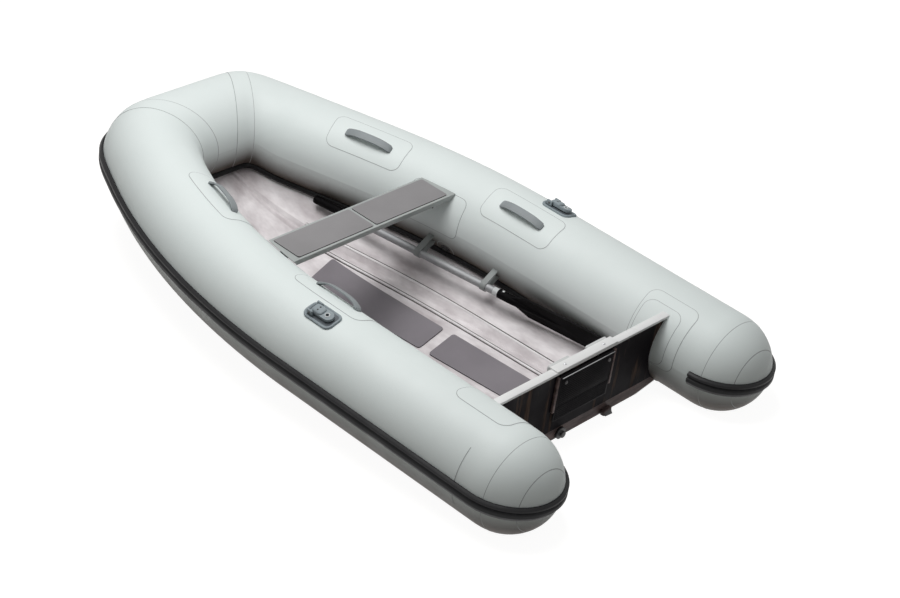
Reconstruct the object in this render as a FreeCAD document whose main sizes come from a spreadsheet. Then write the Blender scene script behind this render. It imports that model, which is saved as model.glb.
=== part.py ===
import FreeCAD, Part
import math
import os
import re
import Sketcher
from FreeCAD import Placement, Rotation, Vector

# An inflatable boat with a rigid aluminium hull, such as a yacht's tender: a collar of three
# air chambers round a plate V hull, a bench seat, two oars in clips and folding oarlocks.
# All lengths are millimetres. Everything is drawn in the collar's frame: X runs forward
# along the straight part of the tubes from the transom, Y is port, Z is up from the tubes'
# centrelines. The finished pieces are then trimmed: turned bow up and raised to the water.

doc = FreeCAD.newDocument("RigidInflatableBoat")
sheet = doc.addObject("Spreadsheet::Sheet", "Dimensions")

sizes = {
    # How the boat floats
    "trim_angle": 4.0,
    "float_height": 185.0,
    # Collar
    "tube_radius": 205.0,
    "tube_half_spacing": 634.0,
    "tail_run": 212.0,
    "cone_length": 221.0,
    "straight_run": 797.0,
    "side_bend_radius": 3151.0,
    "side_bend_angle": 26.0,
    "bow_bend_radius": 126.0,
    "fan_depth": 375.3,
    "crease_radius": 60.0,
    "bow_rise": 60.0,
    "rise_start": 1035.0,
    "rise_power": 4.5,
    "join_tolerance": 0.01,
    # Rub strake
    "strake_height": 58.0,
    "strake_depth": 15.0,
    "strake_base": 5.0,
    "strake_end": 2.0,
    "strake_gap": 0.9,
    # Hull
    "plate": 4.0,
    "keel_depth": 255.0,
    "forefoot_start": 1200.0,
    "forefoot_power": 3.2,
    "seat_angle": 50.0,
    "flange_low_angle": 76.0,
    "flange_high_angle": 45.0,
    "flange_plate": 3.0,
    "seam_gap": 0.3,
    "spray_rail_drop": 18.0,
    "keel_bar_width": 24.0,
    "keel_bar_depth": 10.0,
    "gasket_width": 9.0,
    # Transom. Its cap's reach is counted in from the tube's centreline, as the seat's and the
    # bracket's are.
    "transom_height": 148.0,
    "transom_thickness": 30.0,
    "transom_aft": 22.0,
    "transom_reach": 74.0,
    "cap_thickness": 12.0,
    "cap_overhang": 6.0,
    "clamp_plate_half_width": 178.0,
    "clamp_plate_thickness": 6.0,
    "clamp_pad_inner": 50.0,
    "clamp_pad_outer": 170.0,
    "clamp_pad_thickness": 24.0,
    "clamp_pad_height": 100.0,
    "motor_pad_half_width": 160.0,
    "motor_pad_height": 148.0,
    "motor_pad_thickness": 8.0,
    "motor_pad_drop": 12.0,
    "motor_bar_width": 14.0,
    "motor_bar_extra": 18.0,
    "motor_bar_thickness": 11.0,
    "pad_fillet": 8.0,
    "plug_radius": 26.0,
    "plug_depth": 12.0,
    "plug_knob_radius": 14.0,
    "plug_offset": 88.0,
    "plug_height": 94.0,
    # Floor pads
    "pad_thickness": 4.0,
    "pad_gap": 0.8,
    "pad_inner": 22.0,
    "pad_outer": 166.0,
    "pad_aft_start": 60.0,
    "pad_aft_end": 776.0,
    "pad_fore_start": 829.0,
    "pad_fore_end": 1505.0,
    # Bench seat
    "seat_station": 1215.0,
    "seat_width": 178.0,
    "seat_reach": 154.0,
    "seat_end_gap": 5.0,
    "seat_thickness": 22.0,
    "seat_top": 150.0,
    "seat_rim": 12.0,
    "seat_pad_length": 424.0,
    "seat_pad_thickness": 5.0,
    "seat_pad_recess": 2.0,
    "seat_pad_gap": 14.0,
    "seat_pad_clearance": 0.3,
    "seat_corner": 12.0,
    "bracket_reach": 244.0,
    "bracket_width": 50.0,
    "bracket_drop": 60.0,
    "bracket_plate": 4.0,
    # Oars and their straps. Sides are counted in from the tube's skin at the oar's height, and
    # the straps' stations forward along the shaft from the blade.
    "oar_radius": 17.0,
    "oar_nose_station": 1760.0,
    "oar_nose_side": 47.1,
    "oar_nose_height": -134.0,
    "oar_toe_station": 180.0,
    "oar_toe_side": 23.4,
    "oar_toe_height": -97.0,
    "oar_grip_length": 200.0,
    "oar_grip_radius": 19.0,
    "oar_grip_round": 6.0,
    "oar_blade_length": 560.0,
    "oar_blade_width": 116.0,
    "oar_blade_thickness": 9.0,
    "oar_blade_corner": 34.0,
    "oar_blade_lean": 22.0,
    "oar_shoulder_length": 150.0,
    "oar_neck_length": 70.0,
    "oar_neck_radius": 20.0,
    "oar_spine_length": 430.0,
    "ferrule_length": 26.0,
    "ferrule_wall": 2.0,
    "strap_fore_station": 434.7,
    "strap_aft_station": 78.0,
    "strap_thickness": 4.0,
    "strap_width": 28.0,
    "strap_clearance": 0.3,
    "strap_reach": 120.0,
    # Grab handles
    "handle_aft_station": 810.0,
    "handle_fore_station": 1640.0,
    "handle_angle": 60.0,
    "handle_length": 235.0,
    "handle_rise": 34.0,
    "handle_run": 60.0,
    "handle_band": 7.0,
    "handle_width": 34.0,
    "handle_foot": 18.0,
    "handle_round": 12.0,
    "handle_sink": 12.0,
    # Oarlocks
    "lock_station": 735.0,
    "lock_angle": 75.0,
    "lock_length": 150.0,
    "lock_width": 92.0,
    "lock_base": 8.0,
    "lock_sink": 14.0,
    "lock_corner": 30.0,
    "lock_ear_length": 30.0,
    "lock_ear_width": 9.0,
    "lock_ear_height": 26.0,
    "lock_ear_round": 8.0,
    "lock_pin_radius": 4.0,
    "lock_pin_height": 15.0,
    "lock_pin_offset": 40.0,
    "tongue_length": 96.0,
    "tongue_width": 46.0,
    "tongue_thickness": 12.0,
    "tongue_hole_radius": 7.0,
    "tongue_hole_offset": 68.0,
    "running_gap": 0.4,
    # Valves and towing eye
    "valve_radius": 24.0,
    "valve_height": 4.0,
    "valve_cap_radius": 15.0,
    "valve_cap_height": 8.0,
    "valve_sink": 6.0,
    "valve_station": 1134.0,
    "valve_angle": 33.0,
    "towing_eye_station": 1985.0,
    "towing_eye_radius": 22.0,
    "towing_eye_bore": 9.0,
    "towing_eye_thickness": 10.0,
    "towing_eye_drop": 26.0,
}
for row, (alias, value) in enumerate(sizes.items(), start=1):
    sheet.set(f"A{row}", alias)
    sheet.set(f"B{row}", str(value))
    sheet.setAlias(f"B{row}", alias)
doc.recompute()


def size(alias):
    """A driving dimension, read from the sheet."""
    return float(getattr(sheet, alias))


def cells(expression):
    """The expression with each alias written as a cell of the sheet."""
    return re.sub("[a-z_]+", lambda word: "Dimensions." + word.group(), expression)


def value(expression):
    """What the expression comes to now."""
    return float(sheet.evalExpression(expression))


def link(item, **bindings):
    """Bind properties of a document object to the sheet."""
    for prop, expression in bindings.items():
        item.setExpression(prop, cells(expression))


def primitive(kind, name, place=None, **bindings):
    """A Part primitive whose sizes are bound to the sheet."""
    item = doc.addObject(kind, name)
    link(item, **bindings)
    item.Placement = place or Placement()
    return item


def box(name, corner, length, width, height):
    """A box with its lowest corner here."""
    place = Placement(corner, Rotation())
    return primitive("Part::Box", name, place, Length=length, Width=width, Height=height)


def cylinder(name, radius, height, place=None):
    return primitive("Part::Cylinder", name, place, Radius=radius, Height=height)


def cut(name, base, tool):
    item = doc.addObject("Part::Cut", name)
    item.Base = base
    item.Tool = tool
    return item


def fused(name, items):
    item = doc.addObject("Part::MultiFuse", name)
    item.Shapes = items
    return item


def outline(body, name, corners, role="XY_Plane", raised=None):
    """A closed outline in a body: straight lines whose corners are bound to the sheet."""
    sketch = body.newObject("Sketcher::SketchObject", name)
    plane = next(item for item in body.Origin.OriginFeatures if item.Role == role)
    sketch.AttachmentSupport = (plane, [""])
    sketch.MapMode = "FlatFace"
    if raised:
        sketch.setExpression(".AttachmentOffset.Base.z", cells(raised))
    spots = [Vector(value(across), value(up), 0) for across, up in corners]
    count = len(spots)
    for index, spot in enumerate(spots):
        sketch.addGeometry(Part.LineSegment(spot, spots[(index + 1) % count]))
    for index in range(count):
        sketch.addConstraint(Sketcher.Constraint("Coincident", index, 2, (index + 1) % count, 1))
    for index, (across, up) in enumerate(corners):
        for kind, expression in (("DistanceX", across), ("DistanceY", up)):
            rule = sketch.addConstraint(Sketcher.Constraint(kind, -1, 1, index, 1, value(expression)))
            sketch.setExpression(f"Constraints[{rule}]", cells(expression))
    return sketch


def rectangle(wide, high):
    """The corners of a rectangle about the origin."""
    return [(f"-({wide}) / 2", f"-({high}) / 2"), (f"({wide}) / 2", f"-({high}) / 2"),
            (f"({wide}) / 2", f"({high}) / 2"), (f"-({wide}) / 2", f"({high}) / 2")]


def pad(body, sketch, length, midplane=False):
    feature = body.newObject("PartDesign::Pad", sketch.Name + "_pad")
    feature.Profile = sketch
    feature.SideType = "Symmetric" if midplane else "One side"
    link(feature, Length=length)
    doc.recompute()
    return feature


def rounded(body, feature, radius, along, near=None):
    """Round the edges that run along a direction, or those of them that lie near a test."""
    names = []
    for index, edge in enumerate(feature.Shape.Edges, start=1):
        if edge.Curve.TypeId != "Part::GeomLine":
            continue
        lean = 1 - abs(edge.tangentAt(edge.FirstParameter).dot(along))
        if lean < size("join_tolerance") and (near is None or near(edge.CenterOfMass)):
            names.append(f"Edge{index}")
    fillet = body.newObject("PartDesign::Fillet", feature.Name + "_fillet")
    fillet.Base = (feature, names)
    link(fillet, Radius=radius)
    doc.recompute()
    return fillet


def plate_body(name, wide, high, thick, corner):
    """A plate with rounded corners, centred on its underside."""
    body = doc.addObject("PartDesign::Body", name)
    sketch = outline(body, name + "_outline", rectangle(wide, high))
    rounded(body, pad(body, sketch, thick), corner, Vector(0, 0, 1))
    return body


trim = Placement(Vector(0, 0, size("float_height")), Rotation(Vector(0, 1, 0), -size("trim_angle")))
parts = {}


def keep(label, item, place=None):
    """Register a finished piece under its label and trim it to the water."""
    item.Label = label
    item.Placement = trim.multiply(place or Placement())
    parts[label] = item
    return item


def keep_shape(label, shape):
    """A piece whose form comes from surfaces, kept as one shape."""
    item = doc.addObject("Part::Feature", label)
    item.Shape = shape
    return keep(label, item)


def keep_mirrored(label, source):
    """The same piece on the starboard side."""
    item = doc.addObject("Part::Mirroring", label)
    item.Source = source
    item.Normal = Vector(0, 1, 0)
    item.Label = label
    parts[label] = item
    return item


def mirrored(shape):
    """The same shape on the other side of the boat."""
    return shape.mirror(Vector(0, 0, 0), Vector(0, 1, 0))


# Collar: the centreline seen from above. It is straight from the stern, then bends inwards on
# a wide arc, then turns the bow corner on a tight one and runs straight across the bow.
R = size("tube_radius")
half_spacing = size("tube_half_spacing")
side_radius = size("side_bend_radius")
corner_radius = size("bow_bend_radius")
side_centre = Vector(size("straight_run"), half_spacing - side_radius, 0)
corner_heading = math.radians(size("side_bend_angle"))
across_heading = math.pi / 2


def outward(heading):
    """The level direction that points out of the boat where the tube has this heading."""
    return Vector(math.sin(heading), math.cos(heading), 0)


corner_centre = side_centre + outward(corner_heading) * (side_radius - corner_radius)
bow_station = corner_centre.x + corner_radius
crease_offset = -R - size("crease_radius")
crease_station = bow_station + crease_offset
crease_reach = math.sqrt((side_radius + crease_offset) ** 2 - (crease_station - side_centre.x) ** 2)
crease_centre = Vector(crease_station, side_centre.y + crease_reach, 0)
# The fan of sections round the bow corner turns about a point beside the boat's centreline.
fan_side_share = 0.4056
fan_centre = Vector(bow_station - size("fan_depth"), fan_side_share * crease_centre.y, 0)
fan_heading = math.atan2(fan_centre.x - side_centre.x, fan_centre.y - side_centre.y)
mitre_heading = math.atan2(corner_centre.x - fan_centre.x, corner_centre.y - fan_centre.y)


def reach(origin, direction, centre, radius):
    """Distance from origin along direction to the far side of a circle."""
    to_centre = centre - origin
    along = to_centre.dot(direction)
    aside = to_centre.Length ** 2 - along ** 2
    return along + math.sqrt(max(radius ** 2 - aside, 0))


def fan_reach(heading, offset, centre, radius):
    """Distance from the fan's centre to the collar's outline that lies offset from its centreline."""
    direction = outward(heading)
    if direction.x > 0:
        to_bow = (bow_station + offset - fan_centre.x) / direction.x
        if fan_centre.y + to_bow * direction.y <= centre.y:
            return to_bow
    to_side = reach(fan_centre, direction, side_centre, side_radius + offset)
    hit = fan_centre + direction * to_side - side_centre
    turn = centre - side_centre
    if math.atan2(hit.x, hit.y) <= math.atan2(turn.x, turn.y):
        return to_side
    return reach(fan_centre, direction, centre, radius)


def rise(station):
    """How far the tube's centre has risen above its straight line."""
    share = (station - size("rise_start")) / (bow_station - size("rise_start"))
    return size("bow_rise") * max(share, 0) ** size("rise_power")


class Ring:
    """One section across the collar: its centre, its outward direction and its two half widths."""

    def __init__(self, centre, heading, outer, inner):
        self.centre = Vector(centre.x, centre.y, rise(centre.x))
        self.out = outward(heading)
        self.heading = heading
        self.outer = outer
        self.inner = inner

    def point(self, angle, offset=0.0):
        """A point at this angle up from the outward side, offset from the tube's skin."""
        across = (self.outer if math.cos(angle) >= 0 else self.inner) + offset
        up = (R + offset) * math.sin(angle)
        return self.centre + self.out * (across * math.cos(angle)) + Vector(0, 0, up)

    def wire(self, offset=0.0):
        """The closed section: four quarters of an ellipse that meet at its sides, top and bottom."""
        edges = []
        for quarter in range(4):
            across = (self.outer if quarter in (0, 3) else self.inner) + offset
            arc = Part.ArcOfCircle(Part.Circle(), quarter * math.pi / 2, (quarter + 1) * math.pi / 2)
            curve = arc.toBSpline()
            for index, pole in enumerate(curve.getPoles(), start=1):
                level = self.out * (across * pole.x)
                curve.setPole(index, self.centre + level + Vector(0, 0, (R + offset) * pole.y))
            edges.append(curve.toShape())
        return Part.Wire(edges)


def straight_ring(station):
    return Ring(Vector(station, half_spacing, 0), 0.0, R, R)


def side_ring(heading):
    return Ring(side_centre + outward(heading) * side_radius, heading, R, R)


def fan_ring(heading):
    middle = fan_reach(heading, 0, corner_centre, corner_radius)
    outer = fan_reach(heading, R, corner_centre, corner_radius + R)
    inner = fan_reach(heading, -R, crease_centre, size("crease_radius"))
    return Ring(fan_centre + outward(heading) * middle, heading, outer - middle, middle - inner)


def spread(start, end, count):
    """Evenly spaced values, both ends included."""
    return [start + (end - start) * step / (count - 1) for step in range(count)]


side_rings = [side_ring(heading) for heading in spread(0, fan_heading, 6)]
corner_rings = [fan_ring(heading) for heading in spread(fan_heading, mitre_heading, 5)]
bow_rings = [fan_ring(heading) for heading in spread(mitre_heading, across_heading, 6)]
centre_ring = Ring(Vector(bow_station, 0, 0), across_heading, R, R)


def skin(rings, offset=0.0):
    """The open skin through these sections."""
    return Part.makeLoft([ring.wire(offset) for ring in rings], False, False).Faces


def closed(faces):
    """A solid from faces that share their edges."""
    shell = Part.makeShell(faces)
    shell.sewShape()
    return Part.makeSolid(shell)


def collar_solid(runs, offset=0.0):
    """A solid length of collar: its skin, run by run, and a flat face at each end."""
    ends = [Part.Face(runs[0][0].wire(offset)), Part.Face(runs[-1][-1].wire(offset))]
    faces = [face for rings in runs for face in skin(rings, offset)]
    return closed(faces + ends)


def cone_outline(turn, offset=0.0):
    """A point on the level outline of the port cone, offset from its skin, and its outward direction."""
    length = size("cone_length")
    aft = Vector(-size("tail_run") - length * math.sin(turn), half_spacing + R * math.cos(turn), 0)
    normal = Vector(-R * math.sin(turn), length * math.cos(turn), 0).normalize()
    return aft + normal * offset, normal


def cone_solid():
    """The rounded stern cone: half an ellipse turned about the tube's axis."""
    axis_end = Vector(-size("tail_run"), half_spacing, 0)
    curve = Part.ArcOfCircle(Part.Circle(), 0, math.pi / 2).toBSpline()
    for index, pole in enumerate(curve.getPoles(), start=1):
        curve.setPole(index, axis_end + Vector(-size("cone_length") * pole.y, R * pole.x, 0))
    across = Part.makeLine(cone_outline(math.pi / 2)[0], axis_end)
    back = Part.makeLine(axis_end, cone_outline(0)[0])
    return Part.Face(Part.Wire([curve.toShape(), across, back])).revolve(axis_end, Vector(1, 0, 0), 360)


def side_tube():
    """The port air chamber from its cone to the bow mitre."""
    straight = [straight_ring(-size("tail_run")), side_rings[0]]
    length = collar_solid([straight, side_rings, corner_rings])
    return length.fuse(cone_solid(), size("join_tolerance")).Solids[0]


port_tube = side_tube()
keep_shape("port_tube", port_tube)
keep_shape("starboard_tube", mirrored(port_tube))
bow_faces = skin(bow_rings) + skin([bow_rings[-1], centre_ring])
mitre_face = Part.Face(bow_rings[0].wire())
bow_tube = closed(bow_faces + [mitre_face] + mirrored(Part.makeShell(bow_faces + [mitre_face])).Faces)
keep_shape("bow_tube", bow_tube)


# Rub strake: a rubber extrusion with two ribs, glued round the collar's widest line from the
# inner side of one cone to the inner side of the other. The shares say where a rib's flat top
# starts and ends, counted from the middle of the extrusion.
rib_top_starts = 0.24
rib_top_ends = 0.62


def strake_section(skin_point, normal, skin_radius):
    """The extrusion's section, standing on the skin where it curves with this radius."""
    half = size("strake_height") / 2
    depth = size("strake_depth")
    base = size("strake_base")
    hug = skin_radius - math.sqrt(skin_radius ** 2 - half ** 2)
    gap = size("strake_gap")
    low_rib = [(base, -half), (depth, -half * rib_top_ends), (depth, -half * rib_top_starts)]
    high_rib = [(depth, half * rib_top_starts), (depth, half * rib_top_ends), (base, half)]
    profile = [(gap - hug, -half)] + low_rib + [(base, 0)] + high_rib + [(gap - hug, half)]
    points = [skin_point + normal * out + Vector(0, 0, up) for out, up in profile]
    back = Part.Arc(points[-1], skin_point + normal * gap, points[0]).toShape()
    edges = [Part.makeLine(first, second) for first, second in zip(points, points[1:])]
    return Part.Wire(edges + [back])


def ring_strake(ring):
    return strake_section(ring.centre + ring.out * ring.outer, ring.out, R ** 2 / ring.outer)


def cone_strake(turn):
    point, normal = cone_outline(turn)
    length = size("cone_length")
    skin_radius = R * math.hypot(R * math.sin(turn), length * math.cos(turn)) / length
    return strake_section(point, normal, skin_radius)


def swept(wires):
    """A solid through these sections."""
    return Part.makeLoft(wires, True, False)


strake_turns = spread(math.radians(180 - size("strake_end")), 0, 21)
strake_cone = swept([cone_strake(turn) for turn in strake_turns])
strake_straight = swept([cone_strake(0), ring_strake(side_rings[0])])
strake_side = swept([ring_strake(ring) for ring in side_rings])
strake_corner = swept([ring_strake(ring) for ring in corner_rings])
strake_bow = swept([ring_strake(ring) for ring in bow_rings])
strake_nose = swept([ring_strake(bow_rings[-1]), ring_strake(centre_ring)])
strake_lengths = [strake_straight, strake_side, strake_corner, strake_bow, strake_nose]
strake_half = strake_cone.fuse(strake_lengths, size("join_tolerance"))
strake = strake_half.fuse(mirrored(strake_half), size("join_tolerance"))
keep_shape("rub_strake", strake.Solids[0])


# Hull: aluminium plate bent to a V with one spray rail pressed in each side. Its upper edge
# turns into a flange that hugs the underside of the collar, where it is glued.
# The spray rail's three bends, as shares of the half breadth, and how far each one drops.
rail_shares = [(0.0, 0.0), (0.44, 0.0), (0.535, 1.0), (0.578, 0.0), (1.0, 0.0)]
keel_bar_tip = 0.6
flange_angle = math.pi + math.radians(size("seat_angle"))
low_angle = math.pi + math.radians(size("flange_low_angle"))
high_angle = math.pi + math.radians(size("flange_high_angle"))
flange_inner = size("seam_gap")
flange_outer = flange_inner + size("flange_plate")
plating_offset = flange_outer + size("seam_gap")
keel_slope = math.tan(math.radians(size("trim_angle")))
nose = centre_ring.point(flange_angle, plating_offset)
widest = side_rings[0].point(flange_angle, plating_offset).y


def keel_height(station):
    """The keel's height: level afloat, then swept up to the nose."""
    level = -size("keel_depth") - station * keel_slope
    lift = nose.z - size("plate") + size("keel_depth") + nose.x * keel_slope
    share = max(station - size("forefoot_start"), 0) / (nose.x - size("forefoot_start"))
    return level + lift * share ** size("forefoot_power")


def bottom_point(ring, share, drop=0.0, lift=0.0):
    """A point on the underside of the plating at this share of the half breadth."""
    edge = ring.point(flange_angle, plating_offset)
    keel = keel_height(edge.x)
    sunk = drop * size("spray_rail_drop") * edge.y / widest
    height = keel + (edge.z - size("plate") - keel) * share - sunk + lift
    return Vector(edge.x, edge.y * share, height)


def polygon(points):
    return Part.makePolygon(list(points) + [points[0]])


def plating_section(ring):
    """One side of the V plating, from the welded seam over the keel bar to the flange."""
    start = size("seam_gap") / 2 / ring.point(flange_angle, plating_offset).y
    shares = [(start, 0.0)] + rail_shares[1:]
    outer = [bottom_point(ring, share, drop) for share, drop in shares]
    inner = [bottom_point(ring, share, drop, size("plate")) for share, drop in shares]
    return polygon(outer + inner[::-1])


def arc_through(ring, first, last, offset):
    """The arc between two angles of a section, offset from the tube's skin."""
    angles = (first, (first + last) / 2, last)
    return Part.Arc(*[ring.point(angle, offset) for angle in angles]).toShape()


def flange_section(ring):
    inside = arc_through(ring, low_angle, high_angle, flange_inner)
    outside = arc_through(ring, high_angle, low_angle, flange_outer)
    top = Part.makeLine(ring.point(high_angle, flange_inner), ring.point(high_angle, flange_outer))
    low = Part.makeLine(ring.point(low_angle, flange_outer), ring.point(low_angle, flange_inner))
    return Part.Wire([inside, top, outside, low])


def bead_section(ring):
    """The rubber bead that covers the flange's upper edge."""
    radius = size("gasket_width") / 2
    angle = high_angle - (radius + size("seam_gap")) / R
    middle = ring.point(angle, size("seam_gap") + radius)
    return Part.Wire([Part.Circle(middle, ring.out.cross(Vector(0, 0, 1)), radius).toShape()])


def keel_section(ring, extra=0.0):
    """The keel guard: a bar welded under the V, drawn larger by this much to cut its fittings."""
    edge = ring.point(flange_angle, plating_offset)
    keel = keel_height(edge.x)
    half = size("keel_bar_width") / 2
    spread_height = half * (edge.z - keel) / edge.y
    depth = size("keel_bar_depth") + extra
    gap = size("seam_gap")
    tip = half * keel_bar_tip
    corners = [(0, -gap), (half, spread_height - gap), (tip, -depth), (-tip, -depth),
               (-half, spread_height - gap)]
    return polygon([Vector(edge.x, across, keel + up) for across, up in corners])


hull_start = straight_ring(-size("transom_aft"))
hull_runs = [[hull_start, side_rings[0]], side_rings, corner_rings, bow_rings]


def along_hull(section, runs=hull_runs):
    """A strip of hull that follows the collar, run by run, joined to one solid."""
    lengths = [swept([section(ring) for ring in rings]) for rings in runs]
    return lengths[0].fuse(lengths[1:], size("join_tolerance"))


def open_strip(section, runs):
    """The faces through these sections, run by run."""
    lofts = [Part.makeLoft([section(ring) for ring in rings], False, False) for rings in runs]
    return [face for loft in lofts for face in loft.Faces]


nose_run = [[bow_rings[-1], centre_ring]]
plating_ends = [Part.Face(plating_section(hull_start)), Part.Face(plating_section(bow_rings[-1]))]
plating = closed(open_strip(plating_section, hull_runs) + plating_ends)
keep_shape("hull_plating_port", plating)
keep_shape("hull_plating_starboard", mirrored(plating))
flange_faces = open_strip(flange_section, hull_runs + nose_run) + [Part.Face(flange_section(hull_start))]
keep_shape("hull_flange", closed(flange_faces + mirrored(Part.makeShell(flange_faces)).Faces))
transom_front = size("transom_thickness") - size("transom_aft")
bead_start = straight_ring(transom_front + size("seam_gap"))
bead_half = along_hull(bead_section, [[bead_start, side_rings[0]]] + hull_runs[1:] + nose_run)
gasket = bead_half.fuse(mirrored(bead_half), size("join_tolerance"))
keep_shape("hull_gasket", gasket.Solids[0])
keel_runs = hull_runs[:2] + [corner_rings[:4]]
keel_bar = along_hull(keel_section, keel_runs)
keep_shape("keel_guard", keel_bar.Solids[0])
keel_tool_shape = along_hull(lambda ring: keel_section(ring, size("seam_gap")), keel_runs)


# Floor pads: four sheets of non-skid foam on the bottom plating, between keel and spray rail.
def pad_ring(station):
    """The collar's section whose flange point lies at this station."""
    if station <= size("straight_run"):
        return straight_ring(station)
    heading = math.asin((station - size("straight_run")) / side_radius)
    for attempt in range(6):
        miss = station - side_ring(heading).point(flange_angle, plating_offset).x
        heading += miss / side_radius
    return side_ring(heading)


def pad_section(station):
    ring = pad_ring(station)
    breadth = ring.point(flange_angle, plating_offset).y
    lift = size("plate") + size("pad_gap")
    inner = size("pad_inner") / breadth
    outer = size("pad_outer") / breadth
    low = [bottom_point(ring, share, 0, lift) for share in (inner, outer)]
    high = [bottom_point(ring, share, 0, lift + size("pad_thickness")) for share in (outer, inner)]
    return polygon(low + high)


def floor_pad(start, end, count):
    return swept([pad_section(station) for station in spread(start, end, count)])


pad_aft = floor_pad(size("pad_aft_start"), size("pad_aft_end"), 2)
pad_fore = floor_pad(size("pad_fore_start"), size("pad_fore_end"), 8)
keep_shape("floor_pad_port_aft", pad_aft)
keep_shape("floor_pad_port_fore", pad_fore)
keep_shape("floor_pad_starboard_aft", mirrored(pad_aft))
keep_shape("floor_pad_starboard_fore", mirrored(pad_fore))


# Transom: a flat closed box welded across the hull between the tubes.
def transom_section(station):
    """The transom's outline: along the plating, up one tube, across the top and down the other."""
    ring = straight_ring(station)
    offset = flange_outer + size("seam_gap")
    lift = size("plate") + size("seam_gap")
    low = [bottom_point(ring, share, drop, lift) for share, drop in rail_shares[:4]]
    edge = bottom_point(ring, 1.0, 0, lift)
    keel = bottom_point(ring, 0, 0, lift)
    turn = flange_angle
    for attempt in range(20):
        spot = ring.point(turn, offset)
        turn -= (keel.z + (edge.z - keel.z) * spot.y / edge.y - spot.z) / R
    top_turn = math.pi - math.asin(size("transom_height") / (R + offset))
    side = arc_through(ring, turn, top_turn, offset)
    corners = low + [ring.point(turn, offset)]
    port = [Part.makeLine(first, second) for first, second in zip(corners, corners[1:])]
    half = Part.Wire(port + [side])
    top = ring.point(top_turn, offset)
    across = Part.makeLine(top, Vector(top.x, -top.y, top.z))
    return Part.Wire(half.Edges + [across] + mirrored(half).Edges[::-1])


transom = Part.makeLoft([transom_section(-size("transom_aft")), transom_section(transom_front)], True, True)
keep_shape("transom", transom)

# Tools that give the fittings a face which follows the tube: the collar's side, a little larger.
def side_length(offset):
    """A solid length of the port side of the collar, from the transom to the bow corner."""
    straight = [straight_ring(-size("tail_run")), side_rings[0]]
    return collar_solid([straight, side_rings, corner_rings], offset)


def tool(name, shape):
    item = doc.addObject("Part::Feature", name)
    item.Shape = shape
    return item


tube_tool = tool("tube_with_seam_gap", side_length(size("seam_gap")))
seat_tool = tool("tube_with_seat_gap", side_length(size("seat_end_gap")))
bracket_tool = tool("tube_with_bracket", side_length(size("seam_gap") + size("bracket_plate")))
both_tubes = tool("both_tubes", Part.makeCompound([tube_tool.Shape, mirrored(tube_tool.Shape)]))
both_sides = Part.makeCompound([seat_tool.Shape, mirrored(seat_tool.Shape)])
both_for_seat = tool("both_tubes_for_seat", both_sides)
bow_half = collar_solid([bow_rings, [bow_rings[-1], centre_ring]], size("seam_gap"))
bow_tool = tool("bow_with_seam_gap", Part.makeCompound([bow_half, mirrored(bow_half)]))

# Transom fittings: the cap on its upper edge, the outboard's clamp plate and pads, and the plug.
cap_aft = -size("transom_aft") - size("cap_overhang")
cap_low = Vector(cap_aft, size("transom_reach") - half_spacing, size("transom_height"))
cap_block = box("cap_block", cap_low, "transom_thickness + cap_overhang",
                "2 * (tube_half_spacing - transom_reach)", "cap_thickness")
keep("transom_cap", cut("cap", cap_block, both_tubes))
cap_top = size("transom_height") + size("cap_thickness")
clamp_low = Vector(cap_low.x, -size("clamp_plate_half_width"), cap_top)
clamp_plate = box("clamp_plate", clamp_low, "transom_thickness + 2 * cap_overhang",
                  "2 * clamp_plate_half_width", "clamp_plate_thickness")
keep("clamp_plate", clamp_plate, Placement(clamp_low, Rotation()))
upright = Rotation(Vector(0, 0, 1), Vector(0, 1, 0), Vector(-1, 0, 0), "XYZ")
clamp_pad = plate_body("clamp_pad", "clamp_pad_height", "clamp_pad_outer - clamp_pad_inner",
                       "clamp_pad_thickness", "pad_fillet")
clamp_pad_place = Vector(transom_front + size("seam_gap") + size("clamp_pad_thickness"),
                         (size("clamp_pad_inner") + size("clamp_pad_outer")) / 2,
                         cap_top - size("seam_gap") - size("clamp_pad_height") / 2)
keep("clamp_pad_port", clamp_pad, Placement(clamp_pad_place, upright))
keep_mirrored("clamp_pad_starboard", clamp_pad)
aft_face = -size("transom_aft") - size("seam_gap")
motor_pad = plate_body("motor_pad", "motor_pad_height", "2 * motor_pad_half_width",
                       "motor_pad_thickness", "pad_fillet")
motor_pad_middle = size("transom_height") - size("motor_pad_drop") - size("motor_pad_height") / 2
keep("motor_pad", motor_pad, Placement(Vector(aft_face, 0, motor_pad_middle), upright))
bar_low = Vector(aft_face - size("motor_bar_thickness"), size("motor_pad_half_width") + size("seam_gap"),
                 motor_pad_middle - size("motor_pad_height") / 2 - size("motor_bar_extra"))
motor_bar = box("motor_bar", bar_low, "motor_bar_thickness", "motor_bar_width",
                "motor_pad_height + motor_bar_extra")
keep("motor_bar_port", motor_bar, Placement(bar_low, Rotation()))
keep_mirrored("motor_bar_starboard", motor_bar)
to_stern = Rotation(Vector(0, 1, 0), -90)
plug_spot = Vector(aft_face, size("plug_offset"), size("plug_height") - size("keel_depth"))
plug_place = Placement(plug_spot, to_stern)
plug_disc = cylinder("plug_disc", "plug_radius", "plug_depth")
plug_knob = cylinder("plug_knob", "plug_knob_radius", "2 * plug_depth")
keep("drain_plug", fused("plug", [plug_disc, plug_knob]), plug_place)

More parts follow.
